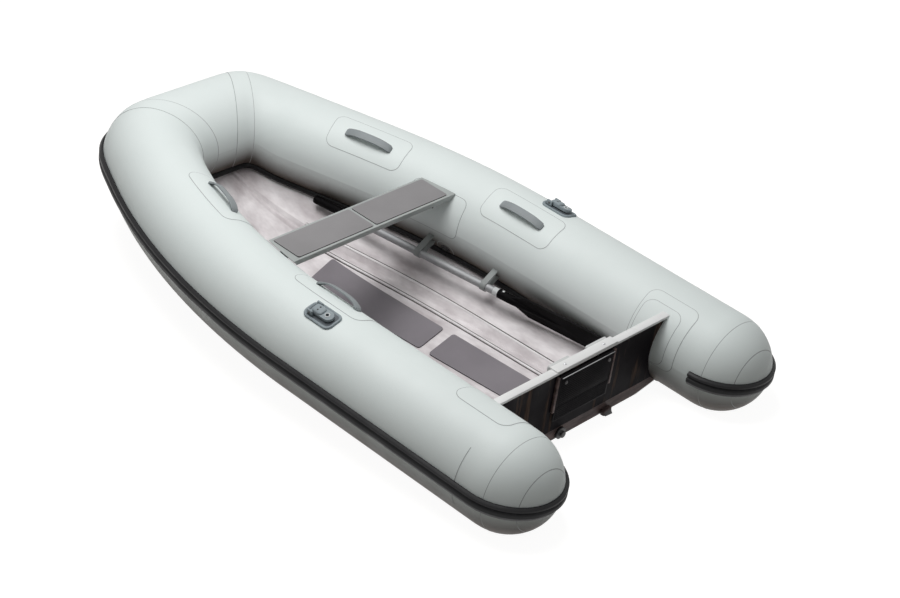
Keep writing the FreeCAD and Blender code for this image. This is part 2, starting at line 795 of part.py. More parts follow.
# Bench seat: a box section between the tubes with two foam pads let into its top. It rests on a
# bracket at each end and lifts out.
seat = doc.addObject("PartDesign::Body", "seat_body")
seat_outline = outline(seat, "seat_outline", rectangle("seat_width", "2 * (tube_half_spacing - seat_reach)"))
pad(seat, seat_outline, "seat_thickness")
for number, side in ((1, "port"), (-1, "starboard")):
    inner = f"{number} * seat_pad_gap / 2"
    outer = f"{number} * (seat_pad_gap / 2 + seat_pad_length)"
    edge = "(seat_width / 2 - seat_rim)"
    corners = [("-" + edge, inner), (edge, inner), (edge, outer), ("-" + edge, outer)]
    recess = outline(seat, "recess_" + side, corners, raised="seat_thickness")
    pocket = seat.newObject("PartDesign::Pocket", "pocket_" + side)
    pocket.Profile = recess
    link(pocket, Length="seat_pad_recess")
    doc.recompute()
seat_base = Vector(size("seat_station"), 0, size("seat_top") - size("seat_thickness"))
seat.Placement = Placement(seat_base, Rotation())
keep("seat_frame", cut("seat_ends", seat, both_for_seat))
seat_pad = plate_body("seat_pad", "seat_width - 2 * seat_rim - 2 * seat_pad_clearance",
                      "seat_pad_length - 2 * seat_pad_clearance", "seat_pad_thickness", "seat_corner")
seat_pad_spot = Vector(size("seat_station"), (size("seat_pad_gap") + size("seat_pad_length")) / 2,
                       size("seat_top") - size("seat_pad_recess"))
seat_pad.Placement = Placement(seat_pad_spot, Rotation())
keep_mirrored("seat_pad_starboard", keep("seat_pad_port", cut("seat_pad_end", seat_pad, seat_tool)))
shelf_top = seat_base.z - size("seam_gap")
shelf_low = Vector(size("seat_station") - size("bracket_width") / 2, half_spacing - size("bracket_reach"),
                   shelf_top - size("bracket_plate"))
shelf = box("shelf", shelf_low, "bracket_width", "tube_radius", "bracket_plate")
leg_low = shelf_low - Vector(0, 0, size("bracket_drop"))
leg_block = box("leg_block", leg_low, "bracket_width", "tube_radius", "bracket_drop + bracket_plate")
leg = doc.addObject("Part::Common", "leg")
leg.Base = leg_block
leg.Tool = bracket_tool
bracket = keep("seat_bracket_port", cut("bracket", fused("bracket_blank", [shelf, leg]), tube_tool))
keep_mirrored("seat_bracket_starboard", bracket)

# Oars: an alloy shaft with a grip, a collar and a moulded blade, lying along each tube.
def oar_end(end):
    """The middle of the port oar's nose or toe."""
    station = size(f"oar_{end}_station")
    height = size(f"oar_{end}_height")
    bend = max(station - size("straight_run"), 0)
    tube_side = side_centre.y + math.sqrt(side_radius ** 2 - bend ** 2)
    return Vector(station, tube_side - math.sqrt(R ** 2 - height ** 2) - size(f"oar_{end}_side"), height)


oar_nose = oar_end("nose")
oar_toe = oar_end("toe")
oar_line = (oar_toe - oar_nose).normalize()
oar_length = (oar_toe - oar_nose).Length
blade_start = oar_length - size("oar_blade_length")
oar_upright = Rotation(oar_line, Vector(), Vector(0, 0, 1), "XZY")
oar_lean = oar_upright.multiply(Rotation(Vector(1, 0, 0), -size("oar_blade_lean")))


def on_oar(along, turned=False):
    """The placement of a piece this far along the port oar, with its Z axis along the shaft if turned."""
    place = Placement(oar_nose + oar_line * along, oar_lean)
    if turned:
        return place.multiply(Placement(Vector(), Rotation(Vector(0, 1, 0), 90)))
    return place


grip_body = doc.addObject("PartDesign::Body", "grip_body")
grip_outline = outline(grip_body, "grip_outline", [("0", "0"), ("oar_grip_length", "0"),
                       ("oar_grip_length", "oar_grip_radius"), ("oar_grip_round", "oar_grip_radius"),
                       ("0", "oar_grip_radius - oar_grip_round")], "XZ_Plane")
grip_turn = grip_body.newObject("PartDesign::Revolution", "grip_turn")
grip_turn.Profile = grip_outline
grip_turn.ReferenceAxis = (grip_outline, ["H_Axis"])
grip = keep("oar_port_grip", grip_body, on_oar(0))
shaft = primitive("Part::Cylinder", "shaft", None, Radius="oar_radius")
shaft.Height = blade_start - size("oar_grip_length")
keep("oar_port_shaft", shaft, on_oar(size("oar_grip_length"), True))
ferrule_outer = cylinder("ferrule_outer", "oar_radius + ferrule_wall", "ferrule_length")
ferrule_inner = cylinder("ferrule_inner", "oar_radius", "ferrule_length")
ferrule = keep("oar_port_collar", cut("ferrule", ferrule_outer, ferrule_inner),
               on_oar(blade_start - size("ferrule_length"), True))
blade = doc.addObject("PartDesign::Body", "blade")
blade_corners = [("0", "oar_neck_radius"), ("0", "-oar_neck_radius"),
                 ("oar_neck_length", "-oar_neck_radius"),
                 ("oar_shoulder_length", "-oar_blade_width / 2"),
                 ("oar_blade_length", "-oar_blade_width / 2"),
                 ("oar_blade_length", "oar_blade_width / 2"),
                 ("oar_shoulder_length", "oar_blade_width / 2"),
                 ("oar_neck_length", "oar_neck_radius")]
blade_outline = outline(blade, "blade_outline", blade_corners, "XZ_Plane")
blade_pad = pad(blade, blade_outline, "oar_blade_thickness", True)
rounded(blade, blade_pad, "oar_blade_corner", Vector(0, 1, 0),
        lambda spot: spot.x > size("oar_blade_length") - size("oar_blade_corner"))
spine_outline = outline(blade, "spine_outline", [("0", "0"), ("oar_spine_length", "0"),
                        ("oar_neck_length", "oar_neck_radius"), ("0", "oar_neck_radius")], "XZ_Plane")
spine = blade.newObject("PartDesign::Revolution", "spine")
spine.Profile = spine_outline
spine.ReferenceAxis = (spine_outline, ["H_Axis"])
keep("oar_port_blade", blade, on_oar(blade_start))
for name, item in (("grip", grip), ("shaft", shaft), ("collar", ferrule), ("blade", blade)):
    keep_mirrored("oar_starboard_" + name, item)


# Oar straps: a band glued to the tube that loops round the shaft.
def strap(name, station):
    """The port strap round the shaft at this station, open towards the tube and closed by it."""
    centre = oar_nose + oar_line * (blade_start - station)
    nearest = side_centre + (Vector(centre.x, centre.y, 0) - side_centre).normalize() * side_radius
    if centre.x < size("straight_run"):
        nearest = Vector(centre.x, half_spacing, 0)
    toward = nearest - centre
    toward = (toward - oar_line * toward.dot(oar_line)).normalize()
    place = Placement(centre, Rotation(toward, Vector(), oar_line, "ZXY"))
    half = Vector(0, 0, -size("strap_width") / 2)
    outer = "oar_radius + strap_clearance + strap_thickness"
    inner = "oar_radius + strap_clearance"
    solids = []
    for kind, radius in (("outer", outer), ("inner", inner)):
        disc = cylinder(f"{name}_{kind}_disc", radius, "strap_width", Placement(half, Rotation()))
        slab = box(f"{name}_{kind}_slab", half - Vector(0, value(radius), 0), "strap_reach",
                   f"2 * ({radius})", "strap_width")
        solids.append(fused(f"{name}_{kind}", [disc, slab]))
    loop = cut(name + "_loop", solids[0], solids[1])
    loop.Placement = place
    return keep(name, cut(name + "_fitted", loop, tube_tool))


for end in ("fore", "aft"):
    item = strap(f"oar_strap_port_{end}", size(f"strap_{end}_station"))
    keep_mirrored(f"oar_strap_starboard_{end}", item)


def on_tube(station, angle):
    """A frame on the port tube: X forward along it, Z straight out of its skin at this angle."""
    heading = math.asin(max(station - size("straight_run"), 0) / side_radius)
    centre = Vector(station, half_spacing, rise(station))
    if heading:
        centre = side_centre + outward(heading) * side_radius + Vector(0, 0, rise(station))
    forward = Vector(math.cos(heading), -math.sin(heading), 0)
    out = outward(heading) * math.cos(angle) + Vector(0, 0, math.sin(angle))
    return Placement(centre + out * R, Rotation(forward, Vector(), out, "ZXY"))


# Grab handles: moulded straps that arch over the inner side of the tubes.
for end in ("fore", "aft"):
    body = doc.addObject("PartDesign::Body", "handle_body_" + end)
    half = "handle_length / 2"
    shoulder = f"({half} - handle_run)"
    inside = f"({half} - handle_run - handle_band / 2)"
    base = "-handle_sink"
    under = "handle_rise - handle_band"
    arch = [(f"-({half})", base), (f"-({half} - handle_foot)", base), (f"-{inside}", under),
            (inside, under), (f"{half} - handle_foot", base), (half, base),
            (shoulder, "handle_rise"), (f"-{shoulder}", "handle_rise")]
    arch_pad = pad(body, outline(body, "arch_" + end, arch, "XZ_Plane"), "handle_width", True)
    rounded(body, arch_pad, "handle_round", Vector(0, 1, 0),
            lambda spot: spot.z > size("handle_rise") - 2 * size("handle_band"))
    body.Placement = on_tube(size(f"handle_{end}_station"), math.pi - math.radians(size("handle_angle")))
    handle = keep(f"handle_port_{end}", cut("handle_fitted_" + end, body, tube_tool))
    keep_mirrored(f"handle_starboard_{end}", handle)

# Folding oarlocks: a rubber base on the tube with two ears, and a tongue that stands up on the
# pin between them for rowing and folds flat towards the stern.
lock_place = on_tube(size("lock_station"), math.radians(size("lock_angle")))
lock_sunk = Placement(Vector(0, 0, -size("lock_sink")), Rotation())
lock_plate = plate_body("lock_plate", "lock_length", "lock_width", "lock_sink + lock_base", "lock_corner")
lock_plate.Placement = lock_sunk
lock_pieces = [lock_plate]
ear_side = "tongue_width / 2 + running_gap"
for number in (1, -1):
    ear = doc.addObject("PartDesign::Body", "ear")
    low = "lock_base - seam_gap"
    front = "lock_pin_offset + lock_ear_length / 2"
    back = "lock_pin_offset - lock_ear_length / 2"
    ear_outline = outline(ear, "ear_outline", [(back, low), (front, low), (front, "lock_ear_height"),
                          (back, "lock_ear_height")], "XZ_Plane")
    ear_pad = pad(ear, ear_outline, "lock_ear_width", True)
    rounded(ear, ear_pad, "lock_ear_round", Vector(0, 1, 0), lambda spot: spot.z > size("lock_pin_height"))
    ear.Placement = Placement(Vector(0, number * value(f"{ear_side} + lock_ear_width / 2"), 0), Rotation())
    lock_pieces.append(ear)
across = Rotation(Vector(1, 0, 0), -90)
pin_end = -value(ear_side) - size("lock_ear_width")
pin_spot = Placement(Vector(size("lock_pin_offset"), pin_end, size("lock_pin_height")), across)
lock_pin = cylinder("lock_pin", "lock_pin_radius", f"2 * ({ear_side} + lock_ear_width)", pin_spot)
lock_base = fused("lock_solid", lock_pieces + [lock_pin])
lock_base.Placement = lock_place
lock_base = keep("oarlock_base_port", cut("lock_fitted", lock_base, tube_tool))
keep_mirrored("oarlock_base_starboard", lock_base)
tongue = doc.addObject("PartDesign::Body", "tongue")
tongue_nose = "tongue_thickness / 2"
tongue_corners = [(tongue_nose, "-tongue_width / 2"), (tongue_nose, "tongue_width / 2"),
                  ("-tongue_length", "tongue_width / 2"), ("-tongue_length", "-tongue_width / 2")]
tongue_outline = outline(tongue, "tongue_outline", tongue_corners)
tongue_pad = pad(tongue, tongue_outline, "tongue_thickness", True)
tongue_end = rounded(tongue, tongue_pad, "tongue_width / 2 - running_gap", Vector(0, 0, 1),
                     lambda spot: spot.x < 0)
rounded(tongue, tongue_end, "tongue_thickness / 2 - running_gap", Vector(0, 1, 0),
        lambda spot: spot.x > 0)
tongue_low = Vector(0, 0, -size("tongue_thickness"))
tongue_hole = cylinder("tongue_hole", "tongue_hole_radius", "2 * tongue_thickness",
                       Placement(tongue_low - Vector(size("tongue_hole_offset"), 0, 0), Rotation()))
tongue_bore = cylinder("tongue_bore", "lock_pin_radius + running_gap", "2 * tongue_width",
                       Placement(Vector(0, -size("tongue_width"), 0), across))
tongue_cut = cut("tongue_cut", cut("tongue_with_hole", tongue, tongue_hole), tongue_bore)
tongue_spot = Vector(size("lock_pin_offset"), 0, size("lock_pin_height"))
tongue_place = lock_place.multiply(Placement(tongue_spot, Rotation()))
tongue_port = keep("oarlock_tongue_port", tongue_cut, tongue_place)
keep_mirrored("oarlock_tongue_starboard", tongue_port)


# Valves: one for each air chamber, on the collar's inner side.
def valve(label, place, tube):
    disc = cylinder(label + "_disc", "valve_radius", "valve_sink + valve_height")
    knob = cylinder(label + "_knob", "valve_cap_radius", "valve_sink + valve_cap_height")
    blank = fused(label + "_blank", [disc, knob])
    blank.Placement = place.multiply(Placement(Vector(0, 0, -size("valve_sink")), Rotation()))
    return keep(label, cut(label + "_fitted", blank, tube))


valve_angle = math.pi + math.radians(size("valve_angle"))
side_valve = valve("valve_port", on_tube(size("valve_station"), valve_angle), tube_tool)
keep_mirrored("valve_starboard", side_valve)
bow_out = Vector(math.cos(valve_angle), 0, math.sin(valve_angle))
bow_valve_share = 0.9
bow_spot = Vector(bow_station, bow_valve_share * crease_centre.y, size("bow_rise")) + bow_out * R
valve("valve_bow", Placement(bow_spot, Rotation(Vector(0, 1, 0), Vector(), bow_out, "ZXY")), bow_tool)


# Towing eye: a lug welded under the stem, just aft of the bow tube.
stem = size("towing_eye_station")
step = size("towing_eye_radius")
stem_slope = math.degrees(math.atan2(keel_height(stem + step) - keel_height(stem - step), 2 * step))
eye_place = Placement(Vector(stem, 0, keel_height(stem)), Rotation(Vector(0, 1, 0), -stem_slope))
eye_side = Vector(0, -size("towing_eye_thickness") / 2, -size("towing_eye_drop"))
eye_disc = cylinder("eye_disc", "towing_eye_radius", "towing_eye_thickness", Placement(eye_side, across))
eye_root = box("eye_root", eye_side - Vector(size("towing_eye_radius"), 0, 0), "2 * towing_eye_radius",
               "towing_eye_thickness", "towing_eye_drop - keel_bar_depth / 2")
eye_hole = cylinder("eye_hole", "towing_eye_bore", "towing_eye_thickness", Placement(eye_side, across))
eye_lug = cut("eye_lug", fused("eye_blank", [eye_disc, eye_root]), eye_hole)
eye_lug.Placement = eye_place
keel_tool = tool("keel_with_seam_gap", keel_tool_shape.Solids[0])
keep("towing_eye", cut("eye_fitted", eye_lug, keel_tool))

doc.recompute()
for item in doc.Objects:
    if "Invalid" in item.State or "Error" in item.State:
        raise RuntimeError(item.Label + " failed: " + item.getStatusString())
os.makedirs("parts", exist_ok=True)
for label, item in parts.items():
    if item.Shape.isNull() or not item.Shape.isValid():
        raise RuntimeError(label + " has no valid shape")
    item.Shape.exportStep("parts/" + label + ".step")
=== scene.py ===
import math

import bmesh
import bpy
from mathutils import Matrix, Vector


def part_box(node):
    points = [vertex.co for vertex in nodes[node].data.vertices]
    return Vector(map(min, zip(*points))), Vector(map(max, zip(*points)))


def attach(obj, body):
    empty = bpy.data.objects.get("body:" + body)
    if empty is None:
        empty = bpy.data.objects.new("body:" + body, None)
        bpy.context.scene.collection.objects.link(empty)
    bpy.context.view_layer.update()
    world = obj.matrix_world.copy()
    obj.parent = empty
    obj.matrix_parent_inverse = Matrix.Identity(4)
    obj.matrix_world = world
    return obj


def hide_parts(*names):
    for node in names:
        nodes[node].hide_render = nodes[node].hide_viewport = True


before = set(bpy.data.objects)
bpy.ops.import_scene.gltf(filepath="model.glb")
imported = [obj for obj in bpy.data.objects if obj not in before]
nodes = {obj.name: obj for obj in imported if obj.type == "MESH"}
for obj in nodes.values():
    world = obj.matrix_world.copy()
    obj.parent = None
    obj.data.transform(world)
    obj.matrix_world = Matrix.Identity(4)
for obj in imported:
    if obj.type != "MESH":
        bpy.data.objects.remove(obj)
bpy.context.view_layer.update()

# Hull: aluminium plate bent to a V, with a flange rolled along its upper edge, a bar welded under
# the keel and a lug for the painter. It is sprayed a satin pinkish grey inside and out. The flange
# is black: partly black rubber facing where the collar is glued to it, partly painted shade for the
# dark gap under the collar.


def paint(red, green, blue):
    """A colour as a paint chart gives it, 0 to 255, in the renderer's linear scale."""
    shares = [channel / 255 for channel in (red, green, blue)]
    linear = [share / 12.92 if share <= 0.04045 else ((share + 0.055) / 1.055) ** 2.4 for share in shares]
    return (*linear, 1.0)


def new_group(name, inputs, outputs):
    """An empty shader group with these sockets."""
    group = bpy.data.node_groups.new(name, "ShaderNodeTree")
    for label, kind in inputs:
        group.interface.new_socket(name=label, in_out="INPUT", socket_type="NodeSocket" + kind)
    for label, kind in outputs:
        group.interface.new_socket(name=label, in_out="OUTPUT", socket_type="NodeSocket" + kind)
    return group, group.nodes.new("NodeGroupInput"), group.nodes.new("NodeGroupOutput")


def mottle_group():
    """Two tones in soft clouds, the light one scarcer as the bias grows."""
    group, given, result = new_group(
        "mottle", [("Place", "Vector"), ("Light", "Color"), ("Dark", "Color"), ("Scale", "Float"),
                   ("Contrast", "Float"), ("Bias", "Float")], [("Color", "Color")])
    clouds = group.nodes.new("ShaderNodeTexNoise")
    clouds.inputs["Detail"].default_value = 4.0
    clouds.inputs["Roughness"].default_value = 0.6
    sparse = group.nodes.new("ShaderNodeMath")
    sparse.operation = "SUBTRACT"
    spread = group.nodes.new("ShaderNodeMath")
    spread.operation = "MULTIPLY_ADD"
    lift = group.nodes.new("ShaderNodeMath")
    lift.operation = "MULTIPLY_ADD"
    lift.inputs[1].default_value = -0.5
    lift.inputs[2].default_value = 0.5
    spread.use_clamp = True
    blend = group.nodes.new("ShaderNodeMix")
    blend.data_type = "RGBA"
    link = group.links.new
    link(given.outputs["Place"], clouds.inputs["Vector"])
    link(given.outputs["Scale"], clouds.inputs["Scale"])
    link(given.outputs["Contrast"], lift.inputs[0])
    link(clouds.outputs["Fac"], sparse.inputs[0])
    link(given.outputs["Bias"], sparse.inputs[1])
    link(sparse.outputs[0], spread.inputs[0])
    link(given.outputs["Contrast"], spread.inputs[1])
    link(lift.outputs[0], spread.inputs[2])
    link(spread.outputs[0], blend.inputs["Factor"])
    link(given.outputs["Dark"], blend.inputs["A"])
    link(given.outputs["Light"], blend.inputs["B"])
    link(blend.outputs["Result"], result.inputs["Color"])
    return group


def grain_group():
    """A fine pebbled height and a roughness that wanders with it."""
    group, given, result = new_group(
        "grain", [("Place", "Vector"), ("Scale", "Float"), ("Smooth", "Float"), ("Rough", "Float")],
        [("Height", "Float"), ("Roughness", "Float")])
    pebbles = group.nodes.new("ShaderNodeTexNoise")
    pebbles.inputs["Detail"].default_value = 3.0
    handled = group.nodes.new("ShaderNodeTexNoise")
    handled.inputs["Scale"].default_value = 7.0
    handled.inputs["Detail"].default_value = 5.0
    level = group.nodes.new("ShaderNodeMapRange")
    level.inputs["From Min"].default_value = 0.3
    level.inputs["From Max"].default_value = 0.7
    link = group.links.new
    link(given.outputs["Place"], pebbles.inputs["Vector"])
    link(given.outputs["Scale"], pebbles.inputs["Scale"])
    link(given.outputs["Place"], handled.inputs["Vector"])
    link(handled.outputs["Fac"], level.inputs["Value"])
    link(given.outputs["Smooth"], level.inputs["To Min"])
    link(given.outputs["Rough"], level.inputs["To Max"])
    link(pebbles.outputs["Fac"], result.inputs["Height"])
    link(level.outputs["Result"], result.inputs["Roughness"])
    return group


mottle = mottle_group()
grain = grain_group()


def add_group(material, group, **values):
    """Place a shared effect in a material with its own values."""
    node = material.node_tree.nodes.new("ShaderNodeGroup")
    node.node_tree = group
    for label, value in values.items():
        node.inputs[label].default_value = value
    return node


def finish(name, light, dark, cloud, contrast, smoothest, roughest, grain_scale, depth,
           stretch=(1, 1, 1), shine=0.5):
    """A painted or moulded finish: clouds of two tones, a grain and a gloss that wanders."""
    material = bpy.data.materials.new(name)
    material.use_nodes = True
    tree = material.node_tree
    shader = tree.nodes["Principled BSDF"]
    shader.inputs["Specular IOR Level"].default_value = shine
    place = tree.nodes.new("ShaderNodeTexCoord")
    drawn = tree.nodes.new("ShaderNodeMapping")
    drawn.inputs["Scale"].default_value = stretch
    tones = add_group(material, mottle, Light=light, Dark=dark, Scale=cloud, Contrast=contrast)
    tones.name = "clouds"
    pebble = add_group(material, grain, Scale=grain_scale, Smooth=smoothest, Rough=roughest)
    bump = tree.nodes.new("ShaderNodeBump")
    bump.inputs["Strength"].default_value = 0.6
    bump.inputs["Distance"].default_value = depth
    link = tree.links.new
    link(place.outputs["Object"], drawn.inputs["Vector"])
    link(drawn.outputs["Vector"], tones.inputs["Place"])
    link(place.outputs["Object"], pebble.inputs["Place"])
    link(tones.outputs["Color"], shader.inputs["Base Color"])
    link(pebble.outputs["Roughness"], shader.inputs["Roughness"])
    link(pebble.outputs["Height"], bump.inputs["Height"])
    link(bump.outputs["Normal"], shader.inputs["Normal"])
    return material


def dress(node, material):
    """Give a CAD solid that keeps its shape this finish."""
    nodes[node].data.materials.clear()
    nodes[node].data.materials.append(material)


hull_paint = finish("hull_paint", paint(250, 245, 246), paint(182, 173, 175), 3.4, 2.8,
                    0.30, 0.48, 900, 0.0003, (1, 2.2, 2.2), 0.35)
black_rubber_and_shade = finish("black_rubber_and_shade", paint(22, 22, 23), paint(12, 12, 12), 6.0, 1.5,
                      0.5, 0.7, 800, 0.0003, shine=0.25)
for name in ("hull_plating_port", "hull_plating_starboard", "keel_guard", "towing_eye"):
    dress(name, hull_paint)
# The flange's black is partly rubber facing and partly painted shade in the gap under the collar.
dress("hull_flange", black_rubber_and_shade)

# Stringers: two half-round beads of aluminium welded along the inside of each bottom plate, one on
# each edge of the pressed spray rail. They are coloured lighter than the plate as a painted
# highlight, and thin dark strips laid beside them are painted shadow.
# Painted highlight: the stringers are coloured lighter than the plate.
painted_highlight = finish("painted_highlight", paint(250, 248, 248), paint(214, 208, 209), 6.0, 2.0,
                      0.25, 0.4, 900, 0.0002, shine=0.6)
# Painted shadow: the colour of the thin dark strips laid beside the stringers.
painted_shadow = finish("painted_shadow", paint(96, 88, 90), paint(58, 52, 54), 9.0, 2.0,
              0.7, 0.85, 700, 0.0003, shine=0.1)
bead_start = 0.015
bead_end = 1.74
bead_wall = 0.0008
weld_depth = 0.0006
half_spacing = 0.634
straight_run = 0.797
bend_radius = 3.151
edge_bend_radius = 3.019
bottom_slope = 0.19


def clear():
    """Leave edit mode with nothing selected."""
    if bpy.context.mode != "OBJECT":
        bpy.ops.object.mode_set(mode="OBJECT")
    bpy.ops.object.select_all(action="DESELECT")


def hold(piece):
    """Make this the one object that operators act on."""
    clear()
    piece.select_set(True)
    bpy.context.view_layer.objects.active = piece


def edit(piece, kind="FACE"):
    """Open a piece in edit mode with all of it selected."""
    hold(piece)
    bpy.ops.object.mode_set(mode="EDIT")
    bpy.ops.mesh.select_mode(type=kind)
    bpy.ops.mesh.select_all(action="SELECT")


def modify(piece, kind, **settings):
    """Add a modifier with these settings and apply it."""
    hold(piece)
    bpy.ops.object.modifier_add(type=kind)
    modifier = piece.modifiers[-1]
    for name, value in settings.items():
        setattr(modifier, name, value)
    bpy.ops.object.modifier_apply(modifier=modifier.name)


def mirror_copy(piece, name):
    """The starboard twin of a port piece."""
    twin = bpy.data.objects.new(name, piece.data.copy())
    bpy.context.scene.collection.objects.link(twin)
    twin.data.transform(Matrix.Diagonal((1, -1, 1, 1)))
    edit(twin)
    bpy.ops.mesh.normals_make_consistent(inside=False)
    clear()
    return twin


def hand_over(piece, body, slot, material, *stood_for):
    """Give the finished piece its material, its body and the solids that it stands for."""
    if material:
        piece.data.materials.clear()
        piece.data.materials.append(material)
    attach(piece, body)
    if stood_for:
        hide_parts(*stood_for)


def stringer(name, share, half_width, height):
    """A bead along the port plating at this share of the way from the keel to the flange."""
    clear()
    bpy.ops.mesh.primitive_grid_add(x_subdivisions=70, y_subdivisions=8, size=1)
    bead = bpy.context.object
    bead.name = name
    for vertex in bead.data.vertices:
        station = bead_start + (vertex.co.x + 0.5) * (bead_end - bead_start)
        bend = max(station - straight_run, 0)
        side = share * (math.sqrt(edge_bend_radius ** 2 - bend ** 2) - (bend_radius - half_spacing))
        above = Vector((station, side, 0.5))
        _, spot, _, _ = nodes["hull_plating_port"].ray_cast(above, Vector((0, 0, -1)))
        turn = (vertex.co.y + 0.5) * math.pi
        across = math.cos(turn) * half_width
        rise = math.sin(turn) * height - bottom_slope * across - weld_depth
        vertex.co = (station, side - across, spot.z + rise)
    modify(bead, "SOLIDIFY", thickness=bead_wall, offset=-1)
    hold(bead)
    bpy.ops.object.shade_smooth()
    return bead


for name, share, half_width, height, material in (
        ("stringer_inner", 0.432, 0.0055, 0.0050, painted_highlight),
        ("stringer_outer", 0.590, 0.0055, 0.0050, painted_highlight),
        # These three thin dark strips are painted shadow beside the stringers.
        ("shadow_line_inner", 0.4475, 0.0038, 0.0011, painted_shadow),
        ("shadow_line_outer", 0.6055, 0.0038, 0.0011, painted_shadow),
        ("shadow_line_keelward", 0.4165, 0.0030, 0.0011, painted_shadow)):
    bead = stringer(f"{name}_port", share, half_width, height)
    hand_over(bead, "hull", "hull", material)
    hand_over(mirror_copy(bead, f"{name}_starboard"), "hull", "hull", material)

# Transom: a closed box of plate welded across the hull. Its after face is coated black, with light
# brown upright streaks on it that are painted reflections, and is worn to a paler brown near the
# waterline. The face towards the cockpit is hull colour.


def merged_copy(node, name):
    """A copy of a CAD solid whose loose triangles are merged, to be worked on as a new piece."""
    piece = bpy.data.objects.new(name, nodes[node].data.copy())
    bpy.context.scene.collection.objects.link(piece)
    edit(piece, "VERT")
    bpy.ops.mesh.remove_doubles(threshold=0.00002)
    bpy.ops.mesh.customdata_custom_splitnormals_clear()
    clear()
    return piece


def plain_copy(node, name):
    """A merged copy whose flat faces are whole."""
    piece = merged_copy(node, name)
    edit(piece)
    bpy.ops.mesh.dissolve_limited(angle_limit=math.radians(1))
    clear()
    return piece


def finish_faces(piece, materials, choose):
    """Give each face the material whose number the choice returns for it."""
    piece.data.materials.clear()
    for material in materials:
        piece.data.materials.append(material)
    for face in piece.data.polygons:
        face.material_index = choose(face)


worn_height = 0.052
# Black coat with painted reflections: its lighter brown tone is drawn out into upright streaks.
black_coat_painted_reflections = finish("black_coat_painted_reflections", paint(104, 84, 72), paint(7, 4, 7), 13.0, 3.6,
                    0.5, 0.7, 700, 0.0003, (1, 2.4, 0.22), 0.06)
black_coat_painted_reflections.node_tree.nodes["clouds"].inputs["Bias"].default_value = 0.19
worn_foot = finish("worn_foot", paint(132, 112, 108), paint(34, 25, 26), 12.0, 2.6,
                   0.4, 0.65, 700, 0.0003, (1, 0.5, 2.0), 0.2)
transom_box = plain_copy("transom", "transom_box")
edit(transom_box)
bpy.ops.mesh.bisect(plane_co=(0, 0, worn_height), plane_no=(0, 0, 1))
clear()


def transom_finish(face):
    """The hull's paint in front, the worn coat near the waterline and the black coat above it."""
    if face.normal.x > 0.9:
        return 1
    return 2 if face.center.z < worn_height else 0


finish_faces(transom_box, (black_coat_painted_reflections, hull_paint, worn_foot), transom_finish)
hand_over(transom_box, "hull", "transom", None, "transom")

# Transom cap: a pale extrusion along the transom's upper edge. The outboard's clamp plate lies
# across its middle, held by two dome-headed screws, with a pad behind it on each side.


def smooth(piece, angle=35):
    """Smooth shading that stays sharp where two faces meet more steeply than this angle."""
    hold(piece)
    bpy.ops.object.shade_smooth_by_angle(angle=math.radians(angle))


def softened(node, name, width, segments):
    """A CAD solid with its sharp edges rounded, as the real part's are."""
    piece = plain_copy(node, name)
    modify(piece, "BEVEL", width=width, segments=segments, limit_method="ANGLE",
           angle_limit=math.radians(30), use_clamp_overlap=True)
    smooth(piece)
    return piece


cap_white = finish("cap_white", paint(240, 240, 239), paint(226, 227, 226), 5.0, 1.5,
                   0.25, 0.4, 600, 0.0002)
cap = softened("transom_cap", "cap_moulding", 0.0022, 3)
hand_over(cap, "hull", "cap", cap_white, "transom_cap")
clamp_plate = softened("clamp_plate", "clamp_plate_moulding", 0.0012, 2)
hand_over(clamp_plate, "hull", "cap", cap_white, "clamp_plate")
pad_grey = finish("clamp_pad_grey", paint(214, 215, 214), paint(196, 198, 197), 9.0, 1.5,
                  0.4, 0.6, 800, 0.0003)
for side in ("port", "starboard"):
    clamp_pad = softened("clamp_pad_" + side, "clamp_pad_moulding_" + side, 0.0025, 3)
    hand_over(clamp_pad, "hull", "clamp_pad", pad_grey, "clamp_pad_" + side)
fitting_steel = finish("fitting_steel", paint(196, 197, 198), paint(168, 169, 171), 30.0, 1.5,
                       0.25, 0.4, 900, 0.0001)
fitting_steel.node_tree.nodes["Principled BSDF"].inputs["Metallic"].default_value = 1.0
screw_side = 0.115
screw_radius = 0.0065
screw_height = 0.0035


def dome(name, radius, height, place):
    """A low round head set at this place, its crown along the place's Z."""
    clear()
    bpy.ops.mesh.primitive_uv_sphere_add(segments=24, ring_count=12, radius=radius)
    head = bpy.context.object
    head.name = name
    head.data.transform(place @ Matrix.Diagonal((1, 1, height / radius, 1)))
    smooth(head, 60)
    return head


plate_low, plate_high = [Vector(corner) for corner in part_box("clamp_plate")]
for name, side in (("port", 1), ("starboard", -1)):
    spot = Vector(((plate_low.x + plate_high.x) / 2, side * screw_side, plate_high.z - 0.001))
    screw = dome("clamp_screw_" + name, screw_radius, screw_height, Matrix.Translation(spot))
    hand_over(screw, "hull", "cap", fitting_steel)

# Motor pad: a black moulded plate on the after face with a diamond tread, a thin skirt below it, a
# bright strip along its upper edge, two bolts and an upright bar at each side. Near the waterline
# are the drain plug and, to starboard, the self-bailer.
mesh_black = finish("mesh_black", paint(18, 15, 19), paint(8, 7, 9), 9.0, 1.5,
                    0.45, 0.65, 800, 0.0003, shine=0.1)
motor_plate = softened("motor_pad", "motor_plate", 0.001, 2)
hand_over(motor_plate, "hull", "motor_pad", mesh_black, "motor_pad")
for side in ("port", "starboard"):
    motor_bar = softened("motor_bar_" + side, "motor_bar_moulding_" + side, 0.0025, 3)
    hand_over(motor_bar, "hull", "motor_pad", worn_foot, "motor_bar_" + side)
pad_low, pad_high = [Vector(corner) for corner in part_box("motor_pad")]
pad_breadth = pad_high.y - pad_low.y
pad_height = 0.148
pad_thickness = 0.008
pad_middle = Vector((-0.0303, 0, 0.062))
